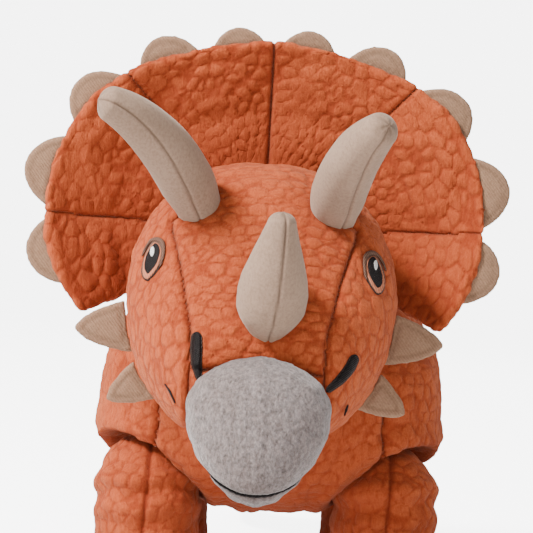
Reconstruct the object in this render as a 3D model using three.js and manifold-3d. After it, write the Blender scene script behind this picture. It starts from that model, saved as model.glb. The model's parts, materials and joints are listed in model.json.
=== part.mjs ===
// Stuffed triceratops: a plush toy of sewn fabric panels over polyester stuffing.
// Millimetres, +Z up. The toy faces -Y, so its own left side is +X.
// The origin is on the floor, under the middle of the toy's bounding box.

import * as THREE from "three";
import { mergeVertices } from "three/addons/utils/BufferGeometryUtils.js";
import Module from "manifold-3d";

const wasm = await Module();
wasm.setup();

// ---------------------------------------------------------------- driving dimensions

const LENGTH = 461; // beak tip to tail tip
const HALF_LENGTH = LENGTH / 2;
const GAP = 0.4; // clearance between neighbouring pieces
const PLUSH = 1.5; // thickness of the plush panels
const FELT = 2.4; // thickness of a double felt piece
const BODY_LEAN = 8; // the torso sits this far to the left of the head

const FAR = 300; // further than any part of the toy, for boxes that only cut one way

const HEAD_X = 0;
const NECK = new THREE.Vector3(0, -92, 146); // centre of the neck, where the head nods and turns
const NECK_RADIUS = 37;
const NECK_CLEARANCE = 1.2;

const LEG_X = 61; // leg centre from the torso's centre plane
const LEG_PIVOT_Z = 62;
const LEG_RADIUS = 30;
const LEG_CLEARANCE = 1.2;
const FRONT_LEG_Y = -58;
const HIND_LEG_Y = 70;
const LEG_SWING = THREE.MathUtils.degToRad(18); // swing that the torso leaves room for
const SOLE_THICKNESS = 3;
const SOLE_HALF_WIDTH = 27;
const SOLE_HALF_LENGTH = 28.5;
const FOOT_FORWARD = 2; // the foot stands this far in front of the leg

const TAIL_ROOT = new THREE.Vector3(BODY_LEAN, 100, 106);
const TAIL_RADIUS = 33;

const FRILL_CENTRE_Z = 196;
const FRILL_SWEEP = 118; // degrees from straight up to each lower end
const FRILL_INNER_Y = -103.4; // front face of the frill at its inner edge
const FRILL_CUP = 22; // how far the rim stands forward of the inner edge
const SCALLOP_PITCH = THREE.MathUtils.degToRad(21.5);
const SCALLOP_INSET = 7; // a scallop's centre lies this far inside the rim
const SCALLOP_ANGLES = [-98, -77, -55, -33, -11, 11, 33, 55, 77, 98];
const FRILL_SEAMS = [-118, -88, -44, 0, 44, 88, 118];

const HORN_BALL = 13;
const HORN_CLEARANCE = 1.2;
const HORN_FLEX = THREE.MathUtils.degToRad(8);
const NOSE_BALL = 15;

// ---------------------------------------------------------------- materials

const COLOURS = {
  orange: "#b35c3b",
  beige: "#b8a08b",
  felt: "#a1816c",
  grey: "#918783",
  thread: "#2c2426",
  eye: "#8a6450",
  wadding: "#ece9e2",
  label: "#f4f2ee",
};

function material(name) {
  return new THREE.MeshStandardMaterial({ color: COLOURS[name], roughness: 0.95, metalness: 0 });
}

const toy = new THREE.Group();
toy.name = "stuffed_dinosaur";

function addNode(name, geometry, finish) {
  const mesh = new THREE.Mesh(geometry, material(finish));
  mesh.name = name;
  toy.add(mesh);
  return mesh;
}

// ---------------------------------------------------------------- solids and booleans

function toSolid(geometry) {
  const bare = geometry.clone();
  bare.deleteAttribute("normal");
  bare.deleteAttribute("uv");
  const merged = mergeVertices(bare, 1e-3);
  return new wasm.Manifold(
    new wasm.Mesh({
      numProp: 3,
      vertProperties: merged.attributes.position.array,
      triVerts: new Uint32Array(merged.index.array),
    }),
  );
}

function toGeometry(solid) {
  const pieces = solid.decompose();
  let largest = pieces[0];
  for (const piece of pieces) {
    if (piece.volume() > largest.volume()) largest = piece;
  }
  const mesh = largest.getMesh();
  const geometry = new THREE.BufferGeometry();
  geometry.setAttribute("position", new THREE.BufferAttribute(new Float32Array(mesh.vertProperties), 3));
  geometry.setIndex(new THREE.BufferAttribute(new Uint32Array(mesh.triVerts), 1));
  return geometry;
}

// A closed skin through rings of points, closed by a point at each end.
function skinRings(rings, firstPole, lastPole) {
  const around = rings[0].length;
  const points = [...rings.flat(), firstPole, lastPole];
  const first = points.length - 2;
  const last = points.length - 1;
  const index = [];
  for (let ring = 0; ring < rings.length - 1; ring++) {
    for (let i = 0; i < around; i++) {
      const j = (i + 1) % around;
      const a = ring * around + i;
      const b = ring * around + j;
      index.push(a, b, b + around, a, b + around, a + around);
    }
  }
  const end = (rings.length - 1) * around;
  for (let i = 0; i < around; i++) {
    const j = (i + 1) % around;
    index.push(first, j, i);
    index.push(last, end + i, end + j);
  }
  const geometry = new THREE.BufferGeometry().setFromPoints(points);
  geometry.setIndex(index);
  return geometry;
}

function volumeOf(geometry) {
  return toSolid(geometry).volume();
}

function facingOut(geometry) {
  if (volumeOf(geometry) >= 0) return geometry;
  const index = geometry.index.array;
  for (let i = 0; i < index.length; i += 3) {
    [index[i + 1], index[i + 2]] = [index[i + 2], index[i + 1]];
  }
  return geometry;
}

function superellipse(angle, power) {
  const c = Math.cos(angle);
  const s = Math.sin(angle);
  return [Math.sign(c) * Math.abs(c) ** (2 / power), Math.sign(s) * Math.abs(s) ** (2 / power)];
}

// Station [y, middle z, half width, top z, bottom z] of a form lofted along Y.
// Growing the form moves its sides outwards, and its two ends outwards along Y.
function loftAlongY(stations, ends, { x = 0, around = 22, power = 2.2, grow = 0 }) {
  const [startY, startZ, endY, endZ] = ends;
  const middleY = (startY + endY) / 2;
  const halfY = (endY - startY) / 2;
  const grownY = (y) => y + Math.sign(halfY) * grow * ((y - middleY) / halfY) ** 3;
  const rings = stations.map(([y, middle, half, top, bottom]) => {
    const ring = [];
    for (let i = 0; i < around; i++) {
      const [c, s] = superellipse((2 * Math.PI * i) / around, power);
      const rise = s >= 0 ? top - middle + grow : middle - bottom + grow;
      ring.push(new THREE.Vector3(x + (half + grow) * c, grownY(y), middle + rise * s));
    }
    return ring;
  });
  const start = new THREE.Vector3(x, grownY(startY), startZ);
  const finish = new THREE.Vector3(x, grownY(endY), endZ);
  return facingOut(skinRings(rings, start, finish));
}

// A round body swept along a curve, with a radius for each station and a point at each end.
function sweep(curve, radii, { around = 14, grow = 0, startCap, endCap }) {
  const frames = curve.computeFrenetFrames(radii.length - 1, false);
  const rings = radii.map((radius, k) => {
    const t = k / (radii.length - 1);
    const centre = curve.getPointAt(t);
    const ring = [];
    for (let i = 0; i < around; i++) {
      const angle = (2 * Math.PI * i) / around;
      ring.push(
        centre
          .clone()
          .addScaledVector(frames.normals[k], (radius + grow) * Math.cos(angle))
          .addScaledVector(frames.binormals[k], (radius + grow) * Math.sin(angle)),
      );
    }
    return ring;
  });
  const start = curve.getPointAt(0).addScaledVector(frames.tangents[0], -(startCap + grow));
  const end = curve.getPointAt(1).addScaledVector(frames.tangents.at(-1), endCap + grow);
  return facingOut(skinRings(rings, start, end));
}

function ball(centre, radius, widthSegments = 16, heightSegments = 10) {
  return new THREE.SphereGeometry(radius, widthSegments, heightSegments).translate(...centre.toArray());
}

// A flat outline in the XZ plane made into a slab between two Y values.
function slabXZ(outline, yFrom, yTo) {
  const shape = new THREE.Shape(outline.map(([x, z]) => new THREE.Vector2(x, z)));
  const slab = new THREE.ExtrudeGeometry(shape, { depth: yTo - yFrom, bevelEnabled: false });
  return slab.rotateX(Math.PI / 2).translate(0, yTo, 0);
}

function box(xFrom, xTo, yFrom, yTo, zFrom, zTo) {
  const size = new THREE.BoxGeometry(xTo - xFrom, yTo - yFrom, zTo - zFrom);
  return size.translate((xFrom + xTo) / 2, (yFrom + yTo) / 2, (zFrom + zTo) / 2);
}

// A ball socket that flares open along a direction, with room for its ball to swing either way.
function flaredSocket(centre, direction, radius, swing, length) {
  const mouth = radius + length * Math.tan(swing);
  const flare = new THREE.CylinderGeometry(mouth, radius, length, 16).translate(0, length / 2, 0);
  const up = new THREE.Vector3(0, 1, 0);
  flare.applyQuaternion(new THREE.Quaternion().setFromUnitVectors(up, direction.clone().normalize()));
  return toSolid(ball(centre, radius, 16, 8)).add(toSolid(flare.translate(...centre.toArray())));
}

function cut(solid, cutters) {
  return cutters.reduce((rest, cutter) => rest.subtract(cutter), solid);
}

// ---------------------------------------------------------------- tail form

// The tail droops to the floor behind the hind legs, in an upright plane turned a little to the right.
const TAIL_HEADING = Math.atan2(17, HALF_LENGTH - TAIL_ROOT.y);
const TAIL_ROUTE = [
  [0, 0],
  [17, -14],
  [33, -33],
  [48, -55],
  [67, -75],
  [94, -89],
  [124, -97],
];
const TAIL_RADII = [31.5, 31, 29.5, 28, 26.5, 25, 23, 20, 16, 11.5, 7.5];
const TAIL_TIP_CAP = 6;
const TAIL_WAG = THREE.MathUtils.degToRad(20);

function tailForm(grow) {
  const points = TAIL_ROUTE.map(([out, rise]) => {
    const x = TAIL_ROOT.x - out * Math.sin(TAIL_HEADING);
    const y = TAIL_ROOT.y + out * Math.cos(TAIL_HEADING);
    return new THREE.Vector3(x, y, TAIL_ROOT.z + rise);
  });
  const curve = new THREE.CatmullRomCurve3(points);
  const body = sweep(curve, TAIL_RADII, { around: 14, grow, startCap: 2, endCap: TAIL_TIP_CAP });
  return toSolid(body).add(toSolid(ball(TAIL_ROOT, TAIL_RADIUS + grow)));
}

// ---------------------------------------------------------------- torso

const TORSO_STATIONS = [
  [-93, 104, 30, 126, 83],
  [-86, 106, 52, 142, 71],
  [-76, 107, 69, 158, 62],
  [-60, 108, 82, 172, 55],
  [-38, 108, 89, 183, 52],
  [0, 108, 91, 189, 52],
  [40, 108, 90, 187, 53],
  [70, 109, 84, 179, 58],
  [90, 110, 72, 167, 67],
  [103, 111, 53, 150, 80],
  [110, 112, 32, 134, 94],
];
const TORSO_ENDS = [-96, 104, 113, 113];
const BELLY_SEAM_X = 57;
const BELLY_SEAM_Z = 122;

// A folded blank label, sewn into the seam at the toy's left rear.
const CARE_LABEL = { from: BODY_LEAN + 69, width: 24, y: 94.6, thickness: 0.8, bottom: 104, height: 18 };

function torsoForm(grow) {
  return toSolid(loftAlongY(TORSO_STATIONS, TORSO_ENDS, { x: BODY_LEAN, grow }));
}

const LEGS = [
  ["front_left", LEG_X, FRONT_LEG_Y],
  ["front_right", -LEG_X, FRONT_LEG_Y],
  ["hind_left", LEG_X, HIND_LEG_Y],
  ["hind_right", -LEG_X, HIND_LEG_Y],
].map(([name, x, y]) => ({ name, pivot: new THREE.Vector3(BODY_LEAN + x, y, LEG_PIVOT_Z) }));

// Room for a leg that swings forwards and back: a ball socket that flares open downwards.
function legSocket(pivot) {
  const reach = LEG_RADIUS + LEG_CLEARANCE;
  const depth = 40;
  const foot = reach / Math.cos(LEG_SWING) + depth * Math.tan(LEG_SWING);
  const outline = [
    [-reach * Math.cos(LEG_SWING), reach * Math.sin(LEG_SWING)],
    [-foot, -depth],
    [foot, -depth],
    [reach * Math.cos(LEG_SWING), reach * Math.sin(LEG_SWING)],
  ];
  const flare = slabXZ(outline, -reach, reach).rotateZ(Math.PI / 2).translate(...pivot.toArray());
  return toSolid(ball(pivot, reach)).add(toSolid(flare));
}

const neckSocket = toSolid(ball(NECK, NECK_RADIUS + NECK_CLEARANCE));

const tailSocket = flaredSocket(
  TAIL_ROOT,
  new THREE.Vector3(-Math.sin(TAIL_HEADING), Math.cos(TAIL_HEADING), TAIL_ROUTE[1][1] / TAIL_ROUTE[1][0]),
  TAIL_RADIUS + LEG_CLEARANCE,
  TAIL_WAG,
  22,
);
const torsoSockets = [neckSocket, tailSocket, ...LEGS.map(({ pivot }) => legSocket(pivot))];

function buildTorso() {
  addNode("torso_stuffing", toGeometry(cut(torsoForm(-PLUSH - GAP), torsoSockets)), "wadding");
  const skin = cut(torsoForm(0).subtract(torsoForm(-PLUSH)), torsoSockets);
  const belly = (gap) => {
    const half = BELLY_SEAM_X + gap;
    return toSolid(box(BODY_LEAN - half, BODY_LEAN + half, -FAR, FAR, 0, BELLY_SEAM_Z + gap));
  };
  const sides = skin.subtract(belly(GAP / 2));
  const left = toSolid(box(BODY_LEAN + GAP / 2, FAR, -FAR, FAR, 0, FAR));
  const right = toSolid(box(-FAR, BODY_LEAN - GAP / 2, -FAR, FAR, 0, FAR));
  addNode("belly_panel", toGeometry(skin.intersect(belly(-GAP / 2))), "orange");
  addNode("torso_left_panel", toGeometry(sides.intersect(left)), "orange");
  addNode("torso_right_panel", toGeometry(sides.intersect(right)), "orange");
  const { from, width, y, thickness, bottom, height } = CARE_LABEL;
  const label = box(from, from + width, y, y + thickness, bottom, bottom + height);
  addNode("care_label", label, "label");
}

// ---------------------------------------------------------------- legs

// Station [z, half width, half depth, shift forward] of a form lofted up the Z axis.
function loftAlongZ(stations, topZ, bottomZ, centre, { around = 16, grow = 0 }) {
  const rings = stations.map(([z, halfX, halfY, forward]) => {
    const ring = [];
    for (let i = 0; i < around; i++) {
      const angle = (2 * Math.PI * i) / around;
      const x = centre.x + (halfX + grow) * Math.cos(angle);
      const y = centre.y - forward + (halfY + grow) * Math.sin(angle);
      ring.push(new THREE.Vector3(x, y, z));
    }
    return ring;
  });
  const top = new THREE.Vector3(centre.x, centre.y, topZ + grow);
  const bottom = new THREE.Vector3(centre.x, centre.y - stations.at(-1)[3], bottomZ - grow);
  return facingOut(skinRings(rings, top, bottom));
}

const LEG_BOTTOM = SOLE_THICKNESS + GAP;
const LEG_STATIONS = [72, 54, 36, 18, 0].map((degrees) => {
  const angle = THREE.MathUtils.degToRad(degrees);
  const radius = LEG_RADIUS * Math.cos(angle);
  return [LEG_PIVOT_Z + LEG_RADIUS * Math.sin(angle), radius, radius, 0];
});
LEG_STATIONS.push(
  [42, 29.5, 29.5, 0],
  [24, 29.5, 30, 1],
  [11, 30.5, 32, FOOT_FORWARD],
  [LEG_BOTTOM + 2, 29.5, 31, FOOT_FORWARD],
  [LEG_BOTTOM, SOLE_HALF_WIDTH, SOLE_HALF_LENGTH, FOOT_FORWARD],
);

function legForm(pivot, grow) {
  return toSolid(loftAlongZ(LEG_STATIONS, LEG_PIVOT_Z + LEG_RADIUS, LEG_BOTTOM, pivot, { grow }));
}

// Three rounded felt toes cut in one strip, seen from the front.
function toeOutline(centreX) {
  const toeWidth = 17;
  const toeHeight = 21;
  const base = 4.5;
  const steps = 4;
  const points = [[centreX - 1.5 * toeWidth, base]];
  for (const toe of [-1, 0, 1]) {
    for (let i = 0; i <= steps; i++) {
      const angle = Math.PI * (1 - i / steps);
      const x = centreX + toe * toeWidth + 0.47 * toeWidth * Math.cos(angle);
      points.push([x, base + 3 + (toeHeight - 3) * Math.sin(angle)]);
    }
  }
  points.push([centreX + 1.5 * toeWidth, base]);
  return points.reverse();
}

function buildLeg({ name, pivot }) {
  addNode(`${name}_leg`, toGeometry(legForm(pivot, 0)), "orange");
  const oval = new THREE.Shape().absellipse(0, 0, SOLE_HALF_WIDTH, SOLE_HALF_LENGTH, 0, 2 * Math.PI);
  const soleForm = { depth: SOLE_THICKNESS, bevelEnabled: false, curveSegments: 11 };
  const sole = new THREE.ExtrudeGeometry(oval, soleForm);
  sole.translate(pivot.x, pivot.y - FOOT_FORWARD, 0);
  addNode(`${name}_sole`, toGeometry(toSolid(sole)), "felt");
  const wrap = legForm(pivot, GAP + FELT).subtract(legForm(pivot, GAP));
  const lobes = toSolid(slabXZ(toeOutline(pivot.x), pivot.y - 60, pivot.y - 6));
  addNode(`${name}_toes`, toGeometry(wrap.intersect(lobes)), "felt");
}

// ---------------------------------------------------------------- tail panels

function tailHalf(side) {
  const near = side * (GAP / 2);
  const slab = box(Math.min(near, side * FAR), Math.max(near, side * FAR), -FAR, FAR, -FAR, FAR);
  return toSolid(slab.rotateZ(TAIL_HEADING).translate(...TAIL_ROOT.toArray()));
}

function buildTail() {
  addNode("tail_stuffing", toGeometry(tailForm(-PLUSH - GAP)), "wadding");
  const skin = tailForm(0).subtract(tailForm(-PLUSH));
  addNode("tail_left_panel", toGeometry(skin.intersect(tailHalf(1))), "orange");
  addNode("tail_right_panel", toGeometry(skin.intersect(tailHalf(-1))), "orange");
}

// ---------------------------------------------------------------- head

const HEAD_STATIONS = [
  [-104, 172, 36, 205, 142],
  [-107, 172, 47, 215, 132],
  [-113, 172, 54, 222, 122],
  [-125, 170, 59, 227, 111],
  [-140, 168, 62, 229, 103],
  [-155, 166, 62.5, 226, 99],
  [-168, 162, 61, 217, 97],
  [-180, 156, 56, 202, 97],
  [-190, 149, 49, 186, 97],
  [-199, 140, 41, 169, 98],
  [-206, 131, 32, 154, 101],
];
const HEAD_ENDS = [-103.6, 172, -210, 126];

function headForm(grow) {
  return toSolid(loftAlongY(HEAD_STATIONS, HEAD_ENDS, { x: HEAD_X, grow }));
}

const BEAK_STATIONS = [
  [-188, 118, 26, 138, 96],
  [-196, 116, 29.5, 143, 88],
  [-204, 114, 30.5, 145, 83],
  [-212, 112, 30, 143.5, 81],
  [-219, 110, 27, 139, 81],
  [-225, 107, 20.5, 130, 83.5],
  [-229, 104, 11.5, 117, 91],
];
const BEAK_ENDS = [-186, 118, -HALF_LENGTH, 103];
const MOUTH = { frontY: -230, frontZ: 84, slope: 0.55 };

function beakForm(grow) {
  return toSolid(loftAlongY(BEAK_STATIONS, BEAK_ENDS, { x: HEAD_X, around: 16, power: 2, grow }));
}

// Everything between two heights measured from the mouth line, which rises towards the back.
function mouthBand(from, to) {
  const back = MOUTH.frontY + 60;
  const front = MOUTH.frontY - 20;
  const lineAt = (y) => MOUTH.frontZ + (y - MOUTH.frontY) * MOUTH.slope;
  const outline = [
    [front, lineAt(front) + from],
    [back, lineAt(back) + from],
    [back, lineAt(back) + to],
    [front, lineAt(front) + to],
  ];
  return toSolid(slabXZ(outline, -60, 60).rotateZ(Math.PI / 2));
}

function mirrored(rightSide) {
  const leftSide = rightSide.map(([x, z]) => [-x, z]).reverse();
  return [...rightSide, ...leftSide];
}

const CHIN_TOP = 136;

function foreheadOutline(gap) {
  return mirrored([
    [29 + gap, CHIN_TOP - gap],
    [29 + gap, 150],
    [35 + gap, 176],
    [42 + gap, 196],
    [40 + gap, 245],
  ]);
}

function chinOutline(gap) {
  return mirrored([
    [29 + gap, 80],
    [29 + gap, CHIN_TOP - GAP + gap],
  ]);
}

// A prism with the given outline, standing on a point of the head and running along its normal.
function prismOn(shape, centre, normal, depth) {
  const outward = normal.clone().normalize();
  const side = new THREE.Vector3().crossVectors(new THREE.Vector3(0, 0, 1), outward).normalize();
  const up = new THREE.Vector3().crossVectors(outward, side);
  const form = { depth: 2 * depth, bevelEnabled: false, curveSegments: 5 };
  const prism = new THREE.ExtrudeGeometry(shape, form).translate(0, 0, -depth);
  prism.applyMatrix4(new THREE.Matrix4().makeBasis(side, up, outward));
  return toSolid(prism.translate(...centre.toArray()));
}

// An embroidered patch that lies on the head.
function patch(shape, centre, normal) {
  const film = headForm(GAP + 1.2).subtract(headForm(GAP));
  return film.intersect(prismOn(shape, centre, normal, 12));
}

function teardrop(width, height) {
  const shape = new THREE.Shape();
  shape.moveTo(0, -height / 2);
  shape.bezierCurveTo(width * 0.75, 0, width * 0.6, height / 2, 0, height / 2);
  shape.bezierCurveTo(-width * 0.6, height / 2, -width * 0.75, 0, 0, -height / 2);
  return shape;
}

const HORNS = [
  {
    name: "brow_horn_right",
    ball: HORN_BALL,
    route: [[-31, -170, 208], [-48, -194, 242], [-75, -206, 249]],
    radii: [12.4, 12.8, 12.6, 12, 11.2, 10.2, 9, 7.4, 5],
  },
  {
    name: "brow_horn_left",
    ball: HORN_BALL,
    route: [[31, -170, 208], [36, -203, 236], [50, -224, 243]],
    radii: [12.4, 12.8, 12.6, 12, 11.2, 10.2, 9, 7.4, 5],
  },
  {
    name: "nose_horn",
    ball: NOSE_BALL,
    route: [[4, -199, 158], [6, -217, 183], [7.5, -223, 203]],
    radii: [14.4, 15, 14.4, 13.2, 11.6, 9.8, 7.8, 5.8, 3.8],
  },
].map((horn) => ({ ...horn, route: horn.route.map((point) => new THREE.Vector3(...point)) }));

function hornForm({ ball: ballRadius, route, radii }, grow) {
  const curve = new THREE.QuadraticBezierCurve3(...route);
  const horn = toSolid(sweep(curve, radii, { around: 12, grow, startCap: 1, endCap: 2.6 }));
  return horn.add(toSolid(ball(route[0], ballRadius + grow, 12, 6)));
}

// Room in the head for the root of a horn that flexes forwards and back.
const hornSockets = HORNS.map(({ ball: ballRadius, route }) =>
  flaredSocket(route[0], route[1].clone().sub(route[0]), ballRadius + HORN_CLEARANCE, HORN_FLEX, 26),
);

function buildHorn(horn) {
  addNode(horn.name, toGeometry(hornForm(horn, 0)), "beige");
}

// A flat felt spike in the XZ plane, from its root towards its tip.
function spikeOutline([rootX, rootZ], [tipX, tipZ], width) {
  const root = new THREE.Vector2(rootX, rootZ);
  const run = new THREE.Vector2(tipX - rootX, tipZ - rootZ);
  const across = new THREE.Vector2(-run.y, run.x).normalize();
  const steps = 7;
  const edge = (side) =>
    Array.from({ length: steps }, (_, i) => {
      const t = i / steps;
      const half = (width / 2) * (1 - t ** 1.6) ** 0.62;
      return root.clone().addScaledVector(run, t).addScaledVector(across, side * half);
    });
  const tip = root.clone().add(run);
  return [...edge(-1), tip, ...edge(1).reverse()].map((point) => [point.x, point.y]);
}

const CHEEK_SPIKES = [
  ["upper", -150, [50, 150], [86, 147], 27],
  ["lower", -157, [40, 132], [69, 115], 24],
];

const EYE = { centre: [50, -178, 182], normal: [0.78, -0.55, 0.3], halfWidth: 9.5, halfHeight: 11.5 };
const NOSTRIL = { centre: [32, -204, 143], normal: [0.7, -0.7, 0.15], width: 12, height: 20 };
const THREAD_RISE = 1; // the mouth stitches stand this far out of the beak
const THREAD_HALF = 0.6;

// A place given for the toy's left side, moved to the side that is asked for.
function onSide([x, y, z], side) {
  return new THREE.Vector3(side * x, y, z);
}

function buildHead() {
  const sockets = [neckSocket, ...hornSockets];
  addNode("head_stuffing", toGeometry(cut(headForm(-PLUSH - GAP), sockets)), "wadding");
  const skin = cut(headForm(0).subtract(headForm(-PLUSH)), sockets);
  const forehead = (gap) => toSolid(slabXZ(foreheadOutline(gap), -FAR, 0));
  const chin = (gap) => toSolid(slabXZ(chinOutline(gap), -FAR, 0));
  const cheeks = skin.subtract(forehead(GAP)).subtract(chin(GAP));
  addNode("forehead_panel", toGeometry(skin.intersect(forehead(0))), "orange");
  addNode("chin_panel", toGeometry(skin.intersect(chin(0))), "orange");
  const leftHalf = toSolid(box(HEAD_X, FAR, -FAR, 0, 0, FAR));
  const rightHalf = toSolid(box(-FAR, HEAD_X, -FAR, 0, 0, FAR));
  addNode("cheek_left_panel", toGeometry(cheeks.intersect(leftHalf)), "orange");
  addNode("cheek_right_panel", toGeometry(cheeks.intersect(rightHalf)), "orange");

  const clearHead = headForm(GAP);
  const noseSocket = hornSockets[2];
  const beak = beakForm(0).subtract(clearHead).subtract(noseSocket);
  addNode("beak_upper", toGeometry(beak.intersect(mouthBand(GAP / 2, FAR))), "grey");
  addNode("beak_lower", toGeometry(beak.intersect(mouthBand(-FAR, -GAP / 2))), "grey");
  const lips = beakForm(GAP + THREAD_RISE).subtract(beakForm(GAP)).subtract(headForm(2 * THREAD_RISE));
  addNode("mouth_stitch", toGeometry(lips.intersect(mouthBand(-THREAD_HALF, THREAD_HALF))), "thread");

  for (const [side, word] of [[1, "left"], [-1, "right"]]) {
    const eyeShape = new THREE.Shape().absellipse(0, 0, EYE.halfWidth, EYE.halfHeight, 0, 2 * Math.PI);
    const eye = patch(eyeShape, onSide(EYE.centre, side), onSide(EYE.normal, side));
    addNode(`eye_${word}`, toGeometry(eye), "eye");
    const drop = teardrop(NOSTRIL.width, NOSTRIL.height);
    const nostril = patch(drop, onSide(NOSTRIL.centre, side), onSide(NOSTRIL.normal, side));
    addNode(`nostril_${word}`, toGeometry(nostril.subtract(beakForm(GAP))), "thread");
    for (const [place, y, [rootX, rootZ], [tipX, tipZ], width] of CHEEK_SPIKES) {
      const outline = spikeOutline([side * rootX, rootZ], [side * tipX, tipZ], width);
      const spike = toSolid(facingOut(slabXZ(outline, y - FELT / 2, y + FELT / 2)));
      addNode(`cheek_spike_${place}_${word}`, toGeometry(spike.subtract(clearHead)), "felt");
    }
  }
}

// ---------------------------------------------------------------- frill

// The frill is a padded dish round the back of the head. Its angle is measured from straight up.
function rimRadius(degrees) {
  return 100.5 - 8.5 * Math.cos(THREE.MathUtils.degToRad(2.4 * degrees));
}

function frillPoint(degrees, along, behind) {
  const angle = THREE.MathUtils.degToRad(degrees);
  const upward = Math.max(0, Math.cos(angle));
  const inner = 42 - 12 * upward;
  const radius = inner + (rimRadius(degrees) - inner) * along;
  const y = FRILL_INNER_Y - FRILL_CUP * along ** 2 + 12 * along * upward + behind;
  const x = HEAD_X + radius * Math.sin(angle);
  return new THREE.Vector3(x, y, FRILL_CENTRE_Z + radius * Math.cos(angle));
}

function frillThickness(along) {
  return 8 + 6 * Math.sin(Math.PI * along ** 0.8) - 3 * along;
}

// A layer of the frill between two depths behind its front face.
function frillLayer(fromDegrees, toDegrees, fromAlong, toAlong, near, far, stepDegrees = 11) {
  const steps = Math.max(2, Math.round((toDegrees - fromDegrees) / stepDegrees));
  const across = 4;
  const points = [];
  for (let i = 0; i <= steps; i++) {
    const degrees = fromDegrees + ((toDegrees - fromDegrees) * i) / steps;
    for (const depth of [near, far]) {
      for (let j = 0; j <= across; j++) {
        const along = fromAlong + ((toAlong - fromAlong) * j) / across;
        points.push(frillPoint(degrees, along, depth(along)));
      }
    }
  }
  const row = across + 1;
  const at = (i, side, j) => i * 2 * row + side * row + j;
  const index = [];
  const quad = (a, b, c, d) => index.push(a, b, c, a, c, d);
  for (let i = 0; i < steps; i++) {
    for (let j = 0; j < across; j++) {
      quad(at(i, 0, j), at(i, 0, j + 1), at(i + 1, 0, j + 1), at(i + 1, 0, j));
      quad(at(i, 1, j), at(i + 1, 1, j), at(i + 1, 1, j + 1), at(i, 1, j + 1));
    }
    quad(at(i, 0, 0), at(i + 1, 0, 0), at(i + 1, 1, 0), at(i, 1, 0));
    quad(at(i, 0, across), at(i, 1, across), at(i + 1, 1, across), at(i + 1, 0, across));
  }
  for (let j = 0; j < across; j++) {
    quad(at(0, 0, j), at(0, 1, j), at(0, 1, j + 1), at(0, 0, j + 1));
    quad(at(steps, 0, j), at(steps, 0, j + 1), at(steps, 1, j + 1), at(steps, 1, j));
  }
  const geometry = new THREE.BufferGeometry().setFromPoints(points);
  geometry.setIndex(index);
  return facingOut(geometry);
}

function buildFrill() {
  const seamGap = 0.3;
  const inside = PLUSH + 2 * GAP;
  const full = (along) => frillThickness(along);
  const sweepInside = FRILL_SWEEP - 1;
  const back = (along) => full(along) - inside;
  const wadding = frillLayer(-sweepInside, sweepInside, 0.02, 0.98, () => inside, back);
  addNode("frill_wadding", wadding, "wadding");
  for (let k = 0; k < FRILL_SEAMS.length - 1; k++) {
    const from = FRILL_SEAMS[k] + seamGap;
    const to = FRILL_SEAMS[k + 1] - seamGap;
    const panel = frillLayer(from, to, 0, 1, () => 0, () => PLUSH);
    addNode(`frill_front_panel_${k + 1}`, panel, "orange");
  }
  const backs = [
    [-FRILL_SWEEP, -seamGap, "right"],
    [seamGap, FRILL_SWEEP, "left"],
  ];
  for (const [from, to, word] of backs) {
    const panel = frillLayer(from, to, 0, 1, (along) => full(along) - PLUSH, (along) => full(along));
    addNode(`frill_back_panel_${word}`, panel, "orange");
  }
}

// Half-round felt scallops stand out of the rim seam all the way round.
function buildScallops() {
  const beyond = 4;
  const rimGap = 1.008; // the frill's own outline, grown by the gap between pieces
  const frill = toSolid(
    frillLayer(-FRILL_SWEEP - 4, FRILL_SWEEP + 4, 0.5, rimGap, () => -beyond, () => 2 * beyond + 2, 6),
  );
  SCALLOP_ANGLES.forEach((degrees, k) => {
    const angle = THREE.MathUtils.degToRad(degrees);
    const reach = rimRadius(degrees) - SCALLOP_INSET;
    const radius = reach * Math.sin(SCALLOP_PITCH / 2) - GAP;
    const shape = new THREE.Shape().absarc(0, 0, radius, -0.15 * Math.PI, 1.15 * Math.PI, false);
    const form = { depth: FELT, bevelEnabled: false, curveSegments: 10 };
    const disc = new THREE.ExtrudeGeometry(shape, form);
    disc.translate(0, reach, 0).rotateX(Math.PI / 2).rotateY(angle);
    const behind = frillPoint(degrees, 1, frillThickness(1) / 2 + FELT / 2).y;
    disc.translate(HEAD_X, behind, FRILL_CENTRE_Z);
    addNode(`frill_scallop_${k + 1}`, toGeometry(toSolid(disc).subtract(frill)), "felt");
  });
}

// ---------------------------------------------------------------- assembly

buildTorso();
addNode("neck_stuffing", ball(NECK, NECK_RADIUS), "wadding");
buildHead();
HORNS.forEach(buildHorn);
buildFrill();
buildScallops();
LEGS.forEach(buildLeg);
buildTail();

export default toy;
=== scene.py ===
"""A stuffed horned dinosaur: plush panels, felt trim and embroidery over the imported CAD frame.

Lengths are in millimetres inside the shape functions and in metres on Blender objects.
"""

import json
import math

import bmesh
import bpy
import numpy as np
from mathutils import Matrix, Vector
from mathutils.bvhtree import BVHTree


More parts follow.
